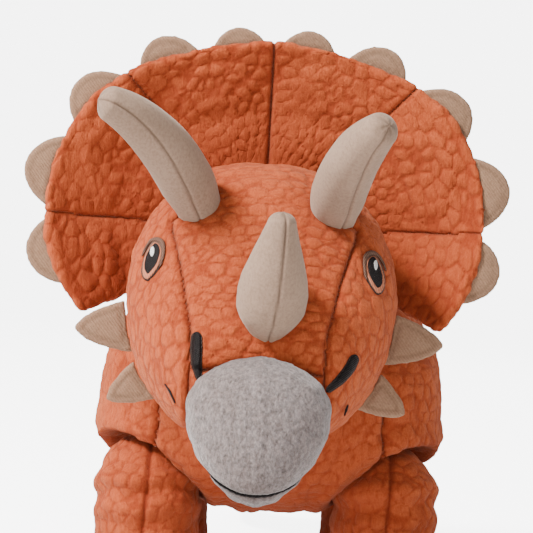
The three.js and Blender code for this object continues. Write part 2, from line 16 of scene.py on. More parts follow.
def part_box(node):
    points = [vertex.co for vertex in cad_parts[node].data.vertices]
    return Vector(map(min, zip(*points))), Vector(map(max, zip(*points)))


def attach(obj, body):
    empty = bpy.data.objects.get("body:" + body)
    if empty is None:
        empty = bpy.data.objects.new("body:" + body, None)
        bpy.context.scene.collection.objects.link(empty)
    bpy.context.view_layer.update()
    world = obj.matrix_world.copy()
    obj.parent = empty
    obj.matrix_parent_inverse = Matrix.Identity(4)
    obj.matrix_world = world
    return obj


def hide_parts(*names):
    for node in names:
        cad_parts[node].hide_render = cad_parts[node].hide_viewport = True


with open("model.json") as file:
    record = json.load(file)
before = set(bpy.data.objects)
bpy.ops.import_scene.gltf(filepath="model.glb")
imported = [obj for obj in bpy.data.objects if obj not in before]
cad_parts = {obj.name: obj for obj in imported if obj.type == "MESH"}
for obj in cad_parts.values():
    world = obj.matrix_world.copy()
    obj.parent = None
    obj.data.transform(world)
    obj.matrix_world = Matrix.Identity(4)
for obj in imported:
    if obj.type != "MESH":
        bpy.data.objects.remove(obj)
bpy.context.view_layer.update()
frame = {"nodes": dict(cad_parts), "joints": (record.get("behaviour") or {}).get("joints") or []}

MM = 0.001
JOINTS = {joint["name"]: joint for joint in frame["joints"]}
SIDES = (("left", 1), ("right", -1))
LEGS = ("front_left", "front_right", "hind_left", "hind_right")
scene = bpy.context.scene


# ---------------------------------------------------------------- places, worked out from the frame

def box_mm(node):
    low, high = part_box(node)
    return np.array(low) / MM, np.array(high) / MM


def joint_mm(name):
    return np.array(JOINTS[name]["pos_m"], float) / MM


TORSO_LOW, TORSO_HIGH = box_mm("torso_stuffing")
MID_X = (TORSO_LOW[0] + TORSO_HIGH[0]) / 2
TORSO_MID_Z = (TORSO_LOW[2] + TORSO_HIGH[2]) / 2
NECK = joint_mm("neck_nod")
TAIL_ROOT = joint_mm("tail_wag")
FRILL_CENTRE_Z = box_mm("frill_front_panel_2")[0][2]
FRILL_RIM = float(box_mm("frill_front_panel_4")[1][2] - FRILL_CENTRE_Z)


# ---------------------------------------------------------------- camera, light and stage

VIEW_DISTANCE = 0.75
VIEW_ELEVATION = math.radians(1.5)
VIEW_ROLL = math.radians(3.0)
VIEW_FIELD = math.radians(18.349803)
VIEW_TARGET = Vector((0.0018, -0.160, 0.180))


def add_camera():
    data = bpy.data.cameras.new("camera")
    data.sensor_fit = "HORIZONTAL"
    data.angle = VIEW_FIELD
    data.clip_start = 0.01
    camera = bpy.data.objects.new("camera", data)
    scene.collection.objects.link(camera)
    back = Vector((0, -math.cos(VIEW_ELEVATION), math.sin(VIEW_ELEVATION)))
    camera.location = VIEW_TARGET + back * VIEW_DISTANCE
    aim = (-back).to_track_quat("-Z", "Y").to_matrix().to_4x4()
    camera.matrix_world = Matrix.Translation(camera.location) @ aim @ Matrix.Rotation(VIEW_ROLL, 4, "Z")
    scene.camera = camera


def add_area_light(name, place, aim, size, watts, colour=(1, 1, 1)):
    data = bpy.data.lights.new(name, "AREA")
    data.shape = "DISK"
    data.size = size
    data.energy = watts
    data.color = colour
    light = bpy.data.objects.new(name, data)
    scene.collection.objects.link(light)
    light.location = place
    light.rotation_euler = (Vector(aim) - Vector(place)).to_track_quat("-Z", "Y").to_euler()


def add_stage():
    """A pale round floor that curves up on all sides, so that no edge shows from any view."""
    flat_radius = 2.6
    bend = 1.4
    top = 6.0
    around = 96
    steps = 16
    profile = [(flat_radius, 0.0)]
    for i in range(1, steps + 1):
        angle = math.pi / 2 * i / steps
        profile.append((flat_radius + bend * math.sin(angle), bend * (1 - math.cos(angle))))
    profile.append((flat_radius + bend, top))
    points = [(0.0, 0.0, 0.0)]
    for radius, height in profile:
        for i in range(around):
            angle = 2 * math.pi * i / around
            points.append((radius * math.cos(angle), radius * math.sin(angle), height))
    faces = [(0, 1 + i, 1 + (i + 1) % around) for i in range(around)]
    for ring in range(len(profile) - 1):
        for i in range(around):
            a = 1 + ring * around + i
            b = 1 + ring * around + (i + 1) % around
            faces.append((a, a + around, b + around, b))
    mesh = bpy.data.meshes.new("floor")
    mesh.from_pydata(points, [], faces)
    mesh.polygons.foreach_set("use_smooth", [True] * len(faces))
    floor = bpy.data.objects.new("floor", mesh)
    scene.collection.objects.link(floor)
    mesh.materials.append(stage_material())


WORLD_COLOUR = (0.95, 0.96, 1.0, 1)
WORLD_STRENGTH = 0.38
HEAD_CENTRE = (0, -0.12, 0.16)
BODY_CENTRE = (0, 0, 0.15)


def add_lights():
    world = bpy.data.worlds.new("world")
    world.use_nodes = True
    background = world.node_tree.nodes["Background"]
    background.inputs["Color"].default_value = WORLD_COLOUR
    background.inputs["Strength"].default_value = WORLD_STRENGTH
    scene.world = world
    add_area_light("key", (-1.0, -0.72, 1.35), HEAD_CENTRE, 0.42, 70, (1.0, 0.97, 0.94))
    add_area_light("fill", (0.3, -1.6, 0.8), HEAD_CENTRE, 1.2, 2.5, (0.97, 0.98, 1.0))
    add_area_light("back", (0.4, 1.3, 1.2), BODY_CENTRE, 1.0, 8)


# ---------------------------------------------------------------- materials

def new_material(name, colour, roughness, sheen=0.0, sheen_tint=(1, 1, 1, 1)):
    made = bpy.data.materials.new(name)
    made.use_nodes = True
    shader = made.node_tree.nodes["Principled BSDF"]
    shader.inputs["Base Color"].default_value = (*colour, 1)
    shader.inputs["Roughness"].default_value = roughness
    shader.inputs["Specular IOR Level"].default_value = 0.18
    shader.inputs["Sheen Weight"].default_value = sheen
    shader.inputs["Sheen Roughness"].default_value = 0.45
    shader.inputs["Sheen Tint"].default_value = sheen_tint
    return made, made.node_tree, shader


def add_node(tree, kind, **settings):
    node = tree.nodes.new(kind)
    for key, value in settings.items():
        if hasattr(node, key):
            setattr(node, key, value)
        else:
            node.inputs[key].default_value = value
    return node


def scaled_noise(tree, scale, detail=2.0, roughness=0.5):
    """Noise in object space, with its own number of waves per metre along each axis."""
    place = add_node(tree, "ShaderNodeTexCoord")
    mapping = add_node(tree, "ShaderNodeMapping")
    mapping.inputs["Scale"].default_value = scale
    noise = add_node(tree, "ShaderNodeTexNoise")
    noise.inputs["Scale"].default_value = 1.0
    noise.inputs["Detail"].default_value = detail
    noise.inputs["Roughness"].default_value = roughness
    tree.links.new(place.outputs["Object"], mapping.inputs["Vector"])
    tree.links.new(mapping.outputs["Vector"], noise.inputs["Vector"])
    return noise.outputs["Fac"]


def ramp(tree, value, stops):
    node = add_node(tree, "ShaderNodeValToRGB")
    node.color_ramp.elements[0].position = stops[0][0]
    node.color_ramp.elements[0].color = (*stops[0][1], 1)
    node.color_ramp.elements[1].position = stops[-1][0]
    node.color_ramp.elements[1].color = (*stops[-1][1], 1)
    for place, colour in stops[1:-1]:
        node.color_ramp.elements.new(place).color = (*colour, 1)
    tree.links.new(value, node.inputs["Fac"])
    return node.outputs["Color"]


def mix_colours(tree, factor, first, second, mode="MIX"):
    node = add_node(tree, "ShaderNodeMix", data_type="RGBA", blend_type=mode)
    if isinstance(factor, float):
        node.inputs[0].default_value = factor
    else:
        tree.links.new(factor, node.inputs[0])
    for socket, colour in ((node.inputs[6], first), (node.inputs[7], second)):
        if isinstance(colour, tuple):
            socket.default_value = (*colour, 1)
        else:
            tree.links.new(colour, socket)
    return node.outputs[2]


def add_bumps(tree, shader, layers):
    """Chains bump nodes: each layer is a height, its strength and its depth in metres."""
    last = None
    for height, strength, depth in layers:
        bump = add_node(tree, "ShaderNodeBump")
        bump.inputs["Strength"].default_value = strength
        bump.inputs["Distance"].default_value = depth
        tree.links.new(height, bump.inputs["Height"])
        if last is not None:
            tree.links.new(last, bump.inputs["Normal"])
        last = bump.outputs["Normal"]
    tree.links.new(last, shader.inputs["Normal"])


def groove_value(tree):
    """How deep in a seam or between two scales the surface lies, from 0 to 1."""
    return add_node(tree, "ShaderNodeAttribute", attribute_name="groove").outputs["Fac"]


def groove_line(tree, width):
    """1 on the line between two scales, falling to 0 at the given distance in mm."""
    border = add_node(tree, "ShaderNodeAttribute", attribute_name="border").outputs["Fac"]
    node = add_node(tree, "ShaderNodeMapRange", interpolation_type="SMOOTHSTEP")
    node.inputs["From Min"].default_value = 0.0
    node.inputs["From Max"].default_value = width
    node.inputs["To Min"].default_value = 1.0
    node.inputs["To Max"].default_value = 0.0
    tree.links.new(border, node.inputs["Value"])
    return node.outputs["Result"]


def plush_material(name, light, dark, deep, sheen_tint, streak_scale, bump_depth, sheen=0.35):
    """Short pile: streaks that lie down along the body, with painted shade: the colour darkens towards a deep
    shadow colour in seams, between scales and in hollows.
    """
    made, tree, shader = new_material(name, light, 0.95, sheen, sheen_tint)
    streaks = scaled_noise(tree, streak_scale, 3.0, 0.7)
    tufts = scaled_noise(tree, (420, 420, 300), 3.0, 0.7)
    hairs = scaled_noise(tree, (2600, 2600, 900), 2.0, 0.6)
    patches = scaled_noise(tree, (24, 24, 26), 2.0)
    pile = ramp(tree, streaks, [(0.18, dark), (0.62, light)])
    worn = ramp(tree, patches, [(0.35, (0.88, 0.84, 0.82)), (0.68, (1.0, 1.0, 1.0))])
    toned = mix_colours(tree, 1.0, pile, worn, "MULTIPLY")
    tufted = ramp(tree, tufts, [(0.32, (0.82, 0.77, 0.75)), (0.58, (1.0, 1.0, 1.0))])
    hairy = ramp(tree, hairs, [(0.30, (0.80, 0.74, 0.72)), (0.62, (1.0, 1.0, 1.0))])
    tufted = mix_colours(tree, 1.0, tufted, hairy, "MULTIPLY")
    furry = mix_colours(tree, 1.0, toned, tufted, "MULTIPLY")
    # Painted shade: the lines between scales are darkened, standing in for the shade in their grooves. The
    # same lines also dent the bump below.
    line = groove_line(tree, 1.0)
    soft = ramp(tree, line, [(0.0, (1.0, 1.0, 1.0)), (1.0, (0.70, 0.54, 0.50))])
    lined = mix_colours(tree, 1.0, furry, soft, "MULTIPLY")
    # Painted shade: ambient occlusion darkens the colour towards the deep shadow colour in hollows and near
    # other parts, such as on the frill behind the head.
    hollow = add_node(tree, "ShaderNodeAmbientOcclusion", samples=8)
    hollow.inputs["Distance"].default_value = 0.11
    painted_hollow_shade = tuple(0.62 * a + 0.38 * b for a, b in zip(deep, dark))
    open_air = ramp(tree, hollow.outputs["AO"], [(0.35, (0.0, 0.0, 0.0)), (0.92, (1.0, 1.0, 1.0))])
    shaded = mix_colours(tree, open_air, mix_colours(tree, 0.9, lined, painted_hollow_shade), lined)
    # Painted shade: seams are darkened towards the deep shadow colour.
    final = mix_colours(tree, groove_value(tree), shaded, deep)
    tree.links.new(final, shader.inputs["Base Color"])
    heights = add_node(tree, "ShaderNodeMath", operation="SUBTRACT")
    heights.inputs[0].default_value = 1.0
    tree.links.new(line, heights.inputs[1])
    add_bumps(tree, shader, [
        (heights.outputs[0], 0.6, 0.0005), (tufts, 0.7, bump_depth),
        (streaks, 0.55, bump_depth), (hairs, 0.7, 0.0004),
    ])
    return made


def velour_material(name, light, dark, seam):
    """Short smooth nap with faint knit ribs and a dark seam."""
    made, tree, shader = new_material(name, light, 0.9, 0.3, (0.95, 0.82, 0.7, 1))
    nap = scaled_noise(tree, (900, 900, 700), 3.0, 0.6)
    cloudy = scaled_noise(tree, (40, 40, 40), 2.0)
    base = ramp(tree, nap, [(0.32, dark), (0.62, light)])
    shaded = ramp(tree, cloudy, [(0.3, (0.88, 0.87, 0.86)), (0.7, (1.0, 1.0, 1.0))])
    toned = mix_colours(tree, 1.0, base, shaded, "MULTIPLY")
    final = mix_colours(tree, groove_value(tree), toned, seam)
    tree.links.new(final, shader.inputs["Base Color"])
    add_bumps(tree, shader, [(nap, 0.5, 0.0004)])
    return made


def felt_material(name, light, dark):
    """Matted fibres with faint diagonal knit lines."""
    made, tree, shader = new_material(name, light, 0.95, 0.15, (0.9, 0.78, 0.66, 1))
    place = add_node(tree, "ShaderNodeTexCoord")
    turned = add_node(tree, "ShaderNodeMapping")
    turned.inputs["Rotation"].default_value = (0, math.radians(38), 0)
    tree.links.new(place.outputs["Object"], turned.inputs["Vector"])
    knit = add_node(tree, "ShaderNodeTexWave", bands_direction="X")
    knit.inputs["Scale"].default_value = 260.0
    knit.inputs["Distortion"].default_value = 2.5
    knit.inputs["Detail"].default_value = 2.0
    knit.inputs["Detail Scale"].default_value = 3.0
    tree.links.new(turned.outputs["Vector"], knit.inputs["Vector"])
    fibres = scaled_noise(tree, (800, 800, 800), 4.0, 0.7)
    base = ramp(tree, fibres, [(0.3, dark), (0.65, light)])
    lines = ramp(tree, knit.outputs["Fac"], [(0.1, (0.91, 0.90, 0.89)), (0.8, (1.0, 1.0, 1.0))])
    toned = mix_colours(tree, 1.0, base, lines, "MULTIPLY")
    final = mix_colours(tree, groove_value(tree), toned, tuple(0.55 * c for c in dark))
    tree.links.new(final, shader.inputs["Base Color"])
    add_bumps(tree, shader, [(fibres, 0.6, 0.0005), (knit.outputs["Fac"], 0.5, 0.0003)])
    return made


def thread_material(name, light, dark, angle):
    """Satin stitches side by side."""
    made, tree, shader = new_material(name, light, 0.6)
    place = add_node(tree, "ShaderNodeTexCoord")
    turned = add_node(tree, "ShaderNodeMapping")
    turned.inputs["Rotation"].default_value = (0, math.radians(angle), 0)
    tree.links.new(place.outputs["Object"], turned.inputs["Vector"])
    stitches = add_node(tree, "ShaderNodeTexWave", bands_direction="Z")
    stitches.inputs["Scale"].default_value = 420.0
    stitches.inputs["Distortion"].default_value = 1.2
    stitches.inputs["Detail"].default_value = 2.0
    tree.links.new(turned.outputs["Vector"], stitches.inputs["Vector"])
    base = ramp(tree, stitches.outputs["Fac"], [(0.15, dark), (0.6, light)])
    tree.links.new(base, shader.inputs["Base Color"])
    add_bumps(tree, shader, [(stitches.outputs["Fac"], 0.8, 0.0004)])
    return made


def stuffing_material():
    made, tree, shader = new_material("stuffing", (0.86, 0.85, 0.81), 1.0, 0.3)
    fluff = scaled_noise(tree, (160, 160, 160), 6.0, 0.75)
    base = ramp(tree, fluff, [(0.3, (0.70, 0.69, 0.66)), (0.7, (0.92, 0.91, 0.88))])
    tree.links.new(base, shader.inputs["Base Color"])
    add_bumps(tree, shader, [(fluff, 0.8, 0.0015)])
    return made


def label_material():
    made, tree, shader = new_material("label_cloth", (0.88, 0.87, 0.84), 0.6, 0.1)
    weave = scaled_noise(tree, (1500, 1500, 1500), 2.0)
    base = ramp(tree, weave, [(0.3, (0.74, 0.73, 0.70)), (0.7, (0.9, 0.89, 0.86))])
    tree.links.new(base, shader.inputs["Base Color"])
    add_bumps(tree, shader, [(weave, 0.5, 0.0002)])
    return made


STAGE_GLOW_ON_TOY = 0.06
STAGE_GLOW_SEEN = 5.5


def stage_material():
    made, tree, shader = new_material("stage", (0.88, 0.88, 0.89), 0.9)
    speckle = scaled_noise(tree, (6, 6, 6), 2.0)
    base = ramp(tree, speckle, [(0.2, (0.88, 0.885, 0.89)), (0.8, (0.91, 0.91, 0.915))])
    tree.links.new(base, shader.inputs["Base Color"])
    shader.inputs["Emission Color"].default_value = (1.0, 1.0, 1.0, 1)
    seen = add_node(tree, "ShaderNodeLightPath").outputs["Is Camera Ray"]
    glow = add_node(tree, "ShaderNodeMapRange")
    glow.inputs["To Min"].default_value = STAGE_GLOW_ON_TOY
    glow.inputs["To Max"].default_value = STAGE_GLOW_SEEN
    tree.links.new(seen, glow.inputs["Value"])
    tree.links.new(glow.outputs["Result"], shader.inputs["Emission Strength"])
    return made


MATERIALS = {
    # The third colour of each plush is its deep painted shadow colour, used in hollows and seams.
    "orange_plush": plush_material(
        "orange_plush", (0.60, 0.128, 0.040), (0.40, 0.066, 0.018), (0.13, 0.012, 0.004),
        (1.0, 0.50, 0.30, 1), (1000, 1000, 230), 0.0007, 0.22,
    ),
    "grey_plush": plush_material(
        "grey_plush", (0.33, 0.285, 0.275), (0.045, 0.038, 0.036), (0.05, 0.04, 0.038),
        (0.98, 0.96, 0.95, 1), (750, 750, 520), 0.0009, 0.5,
    ),
    "beige_velour": velour_material(
        "beige_velour", (0.36, 0.243, 0.172), (0.29, 0.19, 0.132), (0.09, 0.052, 0.036)
    ),
    "beige_felt": felt_material("beige_felt", (0.349, 0.209, 0.130), (0.262, 0.149, 0.091)),
    "dark_thread": thread_material("dark_thread", (0.013, 0.009, 0.009), (0.004, 0.003, 0.003), 35),
    "rim_thread": thread_material("rim_thread", (0.05, 0.03, 0.024), (0.02, 0.012, 0.010), 70),
    "lid_thread": thread_material("lid_thread", (0.20, 0.105, 0.07), (0.07, 0.036, 0.026), 60),
    "iris_thread": thread_material("iris_thread", (0.62, 0.225, 0.12), (0.38, 0.11, 0.055), 80),
    "white_thread": thread_material("white_thread", (0.90, 0.88, 0.84), (0.66, 0.63, 0.60), 20),
    "stuffing": stuffing_material(),
    "label_cloth": label_material(),
}


def finish_piece(piece, material, body, cad_nodes=()):
    """Gives a piece its material and body, and hides the CAD nodes that it stands for."""
    piece.data.materials.clear()
    piece.data.materials.append(MATERIALS[material])
    if body:
        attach(piece, body)
    if cad_nodes:
        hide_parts(*cad_nodes)
    return piece


# ---------------------------------------------------------------- mesh tools

def new_object(name, mesh):
    piece = bpy.data.objects.new(name, mesh)
    scene.collection.objects.link(piece)
    return piece


def joined_nodes(name, nodes, balls=()):
    """One mesh with copies of CAD nodes, and balls (centre and radius in mm) that fill their sockets."""
    form = bmesh.new()
    for node in nodes:
        form.from_mesh(frame["nodes"][node].data)
    bmesh.ops.remove_doubles(form, verts=form.verts, dist=1e-6)
    for centre, radius in balls:
        place = Matrix.Translation(Vector(centre) * MM)
        bmesh.ops.create_icosphere(form, subdivisions=3, radius=radius * MM, matrix=place)
    mesh = bpy.data.meshes.new(name)
    form.to_mesh(mesh)
    form.free()
    return new_object(name, mesh)


def apply_modifiers(piece):
    graph = bpy.context.evaluated_depsgraph_get()
    mesh = bpy.data.meshes.new_from_object(piece.evaluated_get(graph))
    piece.modifiers.clear()
    old = piece.data
    piece.data = mesh
    bpy.data.meshes.remove(old)
    return piece


def remesh(piece, voxel, smooth=0):
    modifier = piece.modifiers.new("remesh", "REMESH")
    modifier.mode = "VOXEL"
    modifier.voxel_size = voxel * MM
    if smooth:
        soften = piece.modifiers.new("smooth", "SMOOTH")
        soften.factor = 0.5
        soften.iterations = smooth
    return apply_modifiers(piece)


def subdivide(piece, levels):
    modifier = piece.modifiers.new("subdivide", "SUBSURF")
    modifier.levels = levels
    modifier.render_levels = levels
    return apply_modifiers(piece)


def points_of(piece):
    flat = np.empty(len(piece.data.vertices) * 3)
    piece.data.vertices.foreach_get("co", flat)
    return flat.reshape(-1, 3) / MM


def normals_of(piece):
    flat = np.empty(len(piece.data.vertices) * 3)
    piece.data.vertex_normals.foreach_get("vector", flat)
    return flat.reshape(-1, 3)


def set_points(piece, points):
    piece.data.vertices.foreach_set("co", (points * MM).ravel())
    piece.data.update()


def set_marks(piece, groove, border=None):
    """Stores how deep each point lies in a seam (0 to 1), and its distance from a groove (up to 3 mm)."""
    count = len(piece.data.vertices)
    border = np.full(count, 3.0) if border is None else border
    for name, values in (("groove", np.clip(groove, 0, 1)), ("border", np.clip(border, 0, 3))):
        layer = piece.data.attributes.get(name) or piece.data.attributes.new(name, "FLOAT", "POINT")
        layer.data.foreach_set("value", values.astype(np.float32))


def get_mark(piece, name):
    values = np.empty(len(piece.data.vertices), np.float32)
    piece.data.attributes[name].data.foreach_get("value", values)
    return values


def shade_smooth(piece):
    piece.data.polygons.foreach_set("use_smooth", [True] * len(piece.data.polygons))
    piece.data.update()


def puff(piece, held, cap, pressure=4.0):
    """Cloth simulation: pressure swells the panels, and the seams in held stay where they are."""
    rest = points_of(piece)
    group = piece.vertex_groups.new(name="held")
    for index in np.flatnonzero(held > 0.05):
        group.add([int(index)], float(held[index]), "REPLACE")
    cloth = piece.modifiers.new("cloth", "CLOTH")
    settings = cloth.settings
    settings.quality = 4
    settings.mass = 0.25
    settings.tension_stiffness = 12
    settings.compression_stiffness = 12
    settings.shear_stiffness = 5
    settings.bending_stiffness = 0.4
    settings.use_pressure = True
    settings.uniform_pressure_force = pressure
    settings.vertex_group_mass = "held"
    settings.effector_weights.gravity = 0
    cloth.point_cache.frame_start = 1
    cloth.point_cache.frame_end = 20
    for number in range(1, 21):
        scene.frame_set(number)
    apply_modifiers(piece)
    scene.frame_set(1)
    move = points_of(piece) - rest
    length = np.linalg.norm(move, axis=1, keepdims=True)
    set_points(piece, rest + move * np.minimum(1, cap / np.maximum(length, 1e-9)))
    piece.vertex_groups.clear()


def split_panels(piece, labels, names, thickness=1.1):
    """Cuts a skin into panels by the label of each face, and gives each panel its cloth thickness."""
    points = points_of(piece)
    groove = get_mark(piece, "groove")
    border = get_mark(piece, "border")
    faces = [tuple(face.vertices) for face in piece.data.polygons]
    panels = {}
    for label, name in names.items():
        chosen = [faces[i] for i in np.flatnonzero(labels == label)]
        used = np.unique(np.concatenate([np.array(face) for face in chosen]))
        renumber = np.full(len(points), -1)
        renumber[used] = np.arange(len(used))
        mesh = bpy.data.meshes.new(name)
        panel_faces = [tuple(int(renumber[corner]) for corner in face) for face in chosen]
        mesh.from_pydata((points[used] * MM).tolist(), [], panel_faces)
        panel = new_object(name, mesh)
        set_marks(panel, groove[used], border[used])
        solidify = panel.modifiers.new("cloth_thickness", "SOLIDIFY")
        solidify.thickness = thickness * MM
        solidify.offset = -1
        apply_modifiers(panel)
        shade_smooth(panel)
        panels[name] = panel
    bpy.data.objects.remove(piece)
    return panels


# ---------------------------------------------------------------- surface patterns

def random_places(cell, seed):
    """A repeatable random point, from 0 to 1 on each axis, for each whole-number cell."""
    cell = cell.astype(np.int64)
    key = cell[:, 0] * 73856093 ^ cell[:, 1] * 19349663 ^ cell[:, 2] * 83492791 ^ seed * 2654435761
    places = np.empty((len(cell), 3))
    for axis in range(3):
        key = (key ^ (key >> 15)) * 2246822519 & 0xFFFFFFFF
        key = (key ^ (key >> 13)) * 3266489917 & 0xFFFFFFFF
        places[:, axis] = ((key ^ (key >> 16)) & 0xFFFFFF) / 0x1000000
    return places


def cell_borders(points, size, seed, jitter=0.62):
    """Distance, in cells, from each point to the border of its cell. Every other row is set off by half."""
    scaled = points / np.array(size)
    nearest = np.full(len(points), np.inf)
    second = np.full(len(points), np.inf)
    for row_step in (-1, 0, 1):
        row = np.floor(scaled[:, 2]) + row_step
        shift = 0.5 * (row % 2)
        first = np.floor(scaled[:, 0] - shift)
        for x in (-1, 0, 1):
            for y in (-1, 0, 1):
                cell = np.stack([first + x, np.floor(scaled[:, 1]) + y, row], axis=1)
                feature = cell + 0.5 + (random_places(cell, seed) - 0.5) * jitter
                feature[:, 0] += shift
                distance = np.linalg.norm(scaled - feature, axis=1)
                closer = distance < nearest
                second = np.where(closer, nearest, np.minimum(second, distance))
                nearest = np.where(closer, distance, nearest)
    return (second - nearest) / 2


def soft_noise(points, size, seed):
    """Smooth noise from -1 to 1 with features of the given size."""
    scaled = points / size
    base = np.floor(scaled)
    part = scaled - base
    part = part * part * (3 - 2 * part)
    total = np.zeros(len(points))
    for corner in range(8):
        offset = np.array([corner & 1, corner >> 1 & 1, corner >> 2 & 1])
        weight = np.prod(np.where(offset == 1, part, 1 - part), axis=1)
        total += weight * random_places(base + offset, seed)[:, 0]
    return 2 * total - 1


def ridge(distance, width):
    return np.exp(-((distance / width) ** 2))


def emboss(points, size, seed, depth):
    """Embossed scales: low domes with narrow grooves. Returns height and distance to a groove, in mm."""
    bent = points + 1.3 * np.stack([soft_noise(points, 7.0, seed + k) for k in (1, 2, 3)], axis=1)
    border = cell_borders(bent, size, seed) * np.mean(size)
    strength = 0.75 + 0.45 * soft_noise(points, 16.0, seed + 4)
    dome = 1 - np.exp(-border / 1.25)
    pile = 0.10 * soft_noise(points, 1.7, seed + 5) + 0.12 * soft_noise(points, 3.3, seed + 6)
    height = depth * (dome - 0.7) * np.clip(strength, 0.25, 1.1) + pile
    return height, border + 1.1 * np.clip(0.75 - strength, 0, 1)


def smooth_step(share):
    share = np.clip(share, 0, 1)
    return share * share * (3 - 2 * share)


def press_seam(distance, depth, width):
    """A sewn seam: a narrow valley, with the cloth puffing up beside it."""
    return -depth * ridge(distance, width) + 0.35 * depth * (1 - np.exp(-distance / 7.0))


# ---------------------------------------------------------------- soft forms

def hull_form(name, nodes, hollows, voxel, smooth):
    """The smooth outside of some CAD nodes, with a round hollow (centre, radius in mm) per neighbour."""
    form = bmesh.new()
    for node in nodes:
        form.from_mesh(frame["nodes"][node].data)
    outside = bmesh.ops.convex_hull(form, input=form.verts, use_existing_faces=False)
    inner = [item for item in outside["geom_interior"] if isinstance(item, bmesh.types.BMVert)]
    bmesh.ops.delete(form, geom=inner, context="VERTS")
    hull_faces = {item for item in outside["geom"] if isinstance(item, bmesh.types.BMFace)}
    stale = [face for face in form.faces if face not in hull_faces]
    bmesh.ops.delete(form, geom=stale, context="FACES_ONLY")
    mesh = bpy.data.meshes.new(name)
    form.to_mesh(mesh)
    form.free()
    piece = new_object(name, mesh)
    cutters = []
    for centre, radius in hollows:
        cutter = joined_nodes(name + "_hollow", (), [(centre, radius)])
        cutters.append(cutter)
        hollow = piece.modifiers.new("hollow", "BOOLEAN")
        hollow.operation = "DIFFERENCE"
        hollow.solver = "EXACT"
        hollow.object = cutter
    if cutters:
        apply_modifiers(piece)
    for cutter in cutters:
        bpy.data.objects.remove(cutter)
    return remesh(piece, voxel, smooth)


def grow(piece, distance):
    set_points(piece, points_of(piece) + distance * normals_of(piece))
    return piece


def panel_distances(points, nodes):
    """Distance in mm from each point to each of the CAD nodes."""
    places = [Vector(point) for point in points * MM]
    table = np.empty((len(points), len(nodes)))
    for column, node in enumerate(nodes):
        mesh = frame["nodes"][node].data
        corners = [vertex.co.copy() for vertex in mesh.vertices]
        tree = BVHTree.FromPolygons(corners, [tuple(face.vertices) for face in mesh.polygons])
        table[:, column] = [tree.find_nearest(place)[3] for place in places]
    return table / MM


def seam_distance(table):
    """How far along the surface the border with the next panel is."""
    ordered = np.sort(table, axis=1)
    return np.sqrt(np.maximum(ordered[:, 1] ** 2 - ordered[:, 0] ** 2, 0))


def near(points, centre, radius, reach):
    """1 inside a ball, falling to 0 over the given reach outside it."""
    distance = np.linalg.norm(points - centre, axis=1) - radius
    return np.clip(1 - distance / reach, 0, 1)


def quad_corners(piece):
    corners = np.empty(len(piece.data.loops), np.int64)
    piece.data.loops.foreach_get("vertex_index", corners)
    return corners.reshape(-1, 4)


def sew(piece, nodes, pattern, seam_depth=1.6, seam_width=1.5, extra=None, back=0):
    """Embosses a skin, presses its seams in, and cuts it into its panels.

    The last nodes, as many as back says, are the panels on its far side, which faces +Y."""
    points = points_of(piece)
    normals = normals_of(piece)
    table = panel_distances(points, nodes)
    if back:
        behind = normals[:, 1] > 0.5
        fronts = len(nodes) - back
        seam = np.where(behind, seam_distance(table[:, fronts:]), seam_distance(table[:, :fronts]))
        table[behind, :fronts] += 50
        table[~behind, fronts:] += 50
    else:
        seam = seam_distance(table)
    height, border = pattern(points, table)
    away = 1 - ridge(seam, 2.2)
    height = height * away + press_seam(seam, seam_depth, seam_width)
    if extra is not None:
        height = height + extra(points)
    set_points(piece, points + normals * height[:, None])
    set_marks(piece, 0.6 * ridge(seam, 0.95), border)
    labels = np.argmin(table[quad_corners(piece)].sum(axis=1), axis=1)
    return split_panels(piece, labels, dict(enumerate(nodes)))


def lump(node, inset, body, narrow=1.0, centre=(0, 0, 0)):
    """Stuffing: the CAD solid drawn in and made lumpy, so that it stays under its panels."""
    piece = joined_nodes(node + "_fill", [node])
    remesh(piece, 4.5 if inset > 3 else 2.5, 4)
    points = points_of(piece)
    if narrow < 1:
        away = points - centre
        spread = np.hypot(away[:, 0], away[:, 2]) / FRILL_RIM
        points = away * (narrow, 1, narrow) + centre
        points[:, 1] += 1.0 + (1 - narrow) * 46 * spread ** 2
    depth = inset * (1 + 0.18 * soft_noise(points, 17, 71))
    set_points(piece, points - normals_of(piece) * depth[:, None])
    shade_smooth(piece)
    finish_piece(piece, "stuffing", body, [node])


def simple_emboss(size, seed, depth):
    return lambda points, table: emboss(points, size, seed, depth)


# ---------------------------------------------------------------- torso, legs, tail and neck

TORSO_PANELS = ("torso_left_panel", "torso_right_panel", "belly_panel")
LEG_BALL = 30.4
NECK_BALL = 37.6
TAIL_BALL = 33.6
TAIL_CLEARANCE = 1.8
LEG_INSET = 2.6
TAIL_INSET = 2.5


def leg_pivot(leg):
    return joint_mm(leg + "_leg_swing")


def torso_folds(points):
    """Folds that fan out from the tops of the legs, and a crease across the chest."""
    height = np.zeros(len(points))
    for leg in LEGS:
        away = points - leg_pivot(leg)
        distance = np.linalg.norm(away, axis=1)
        ring = np.sin((distance - 31) / 2.6 + 1.6 * soft_noise(points, 26, 31))
        height += 1.0 * ring * np.exp(-(((distance - 38) / 8) ** 2))
    return height + 1.0 * soft_noise(points, 34, 32)


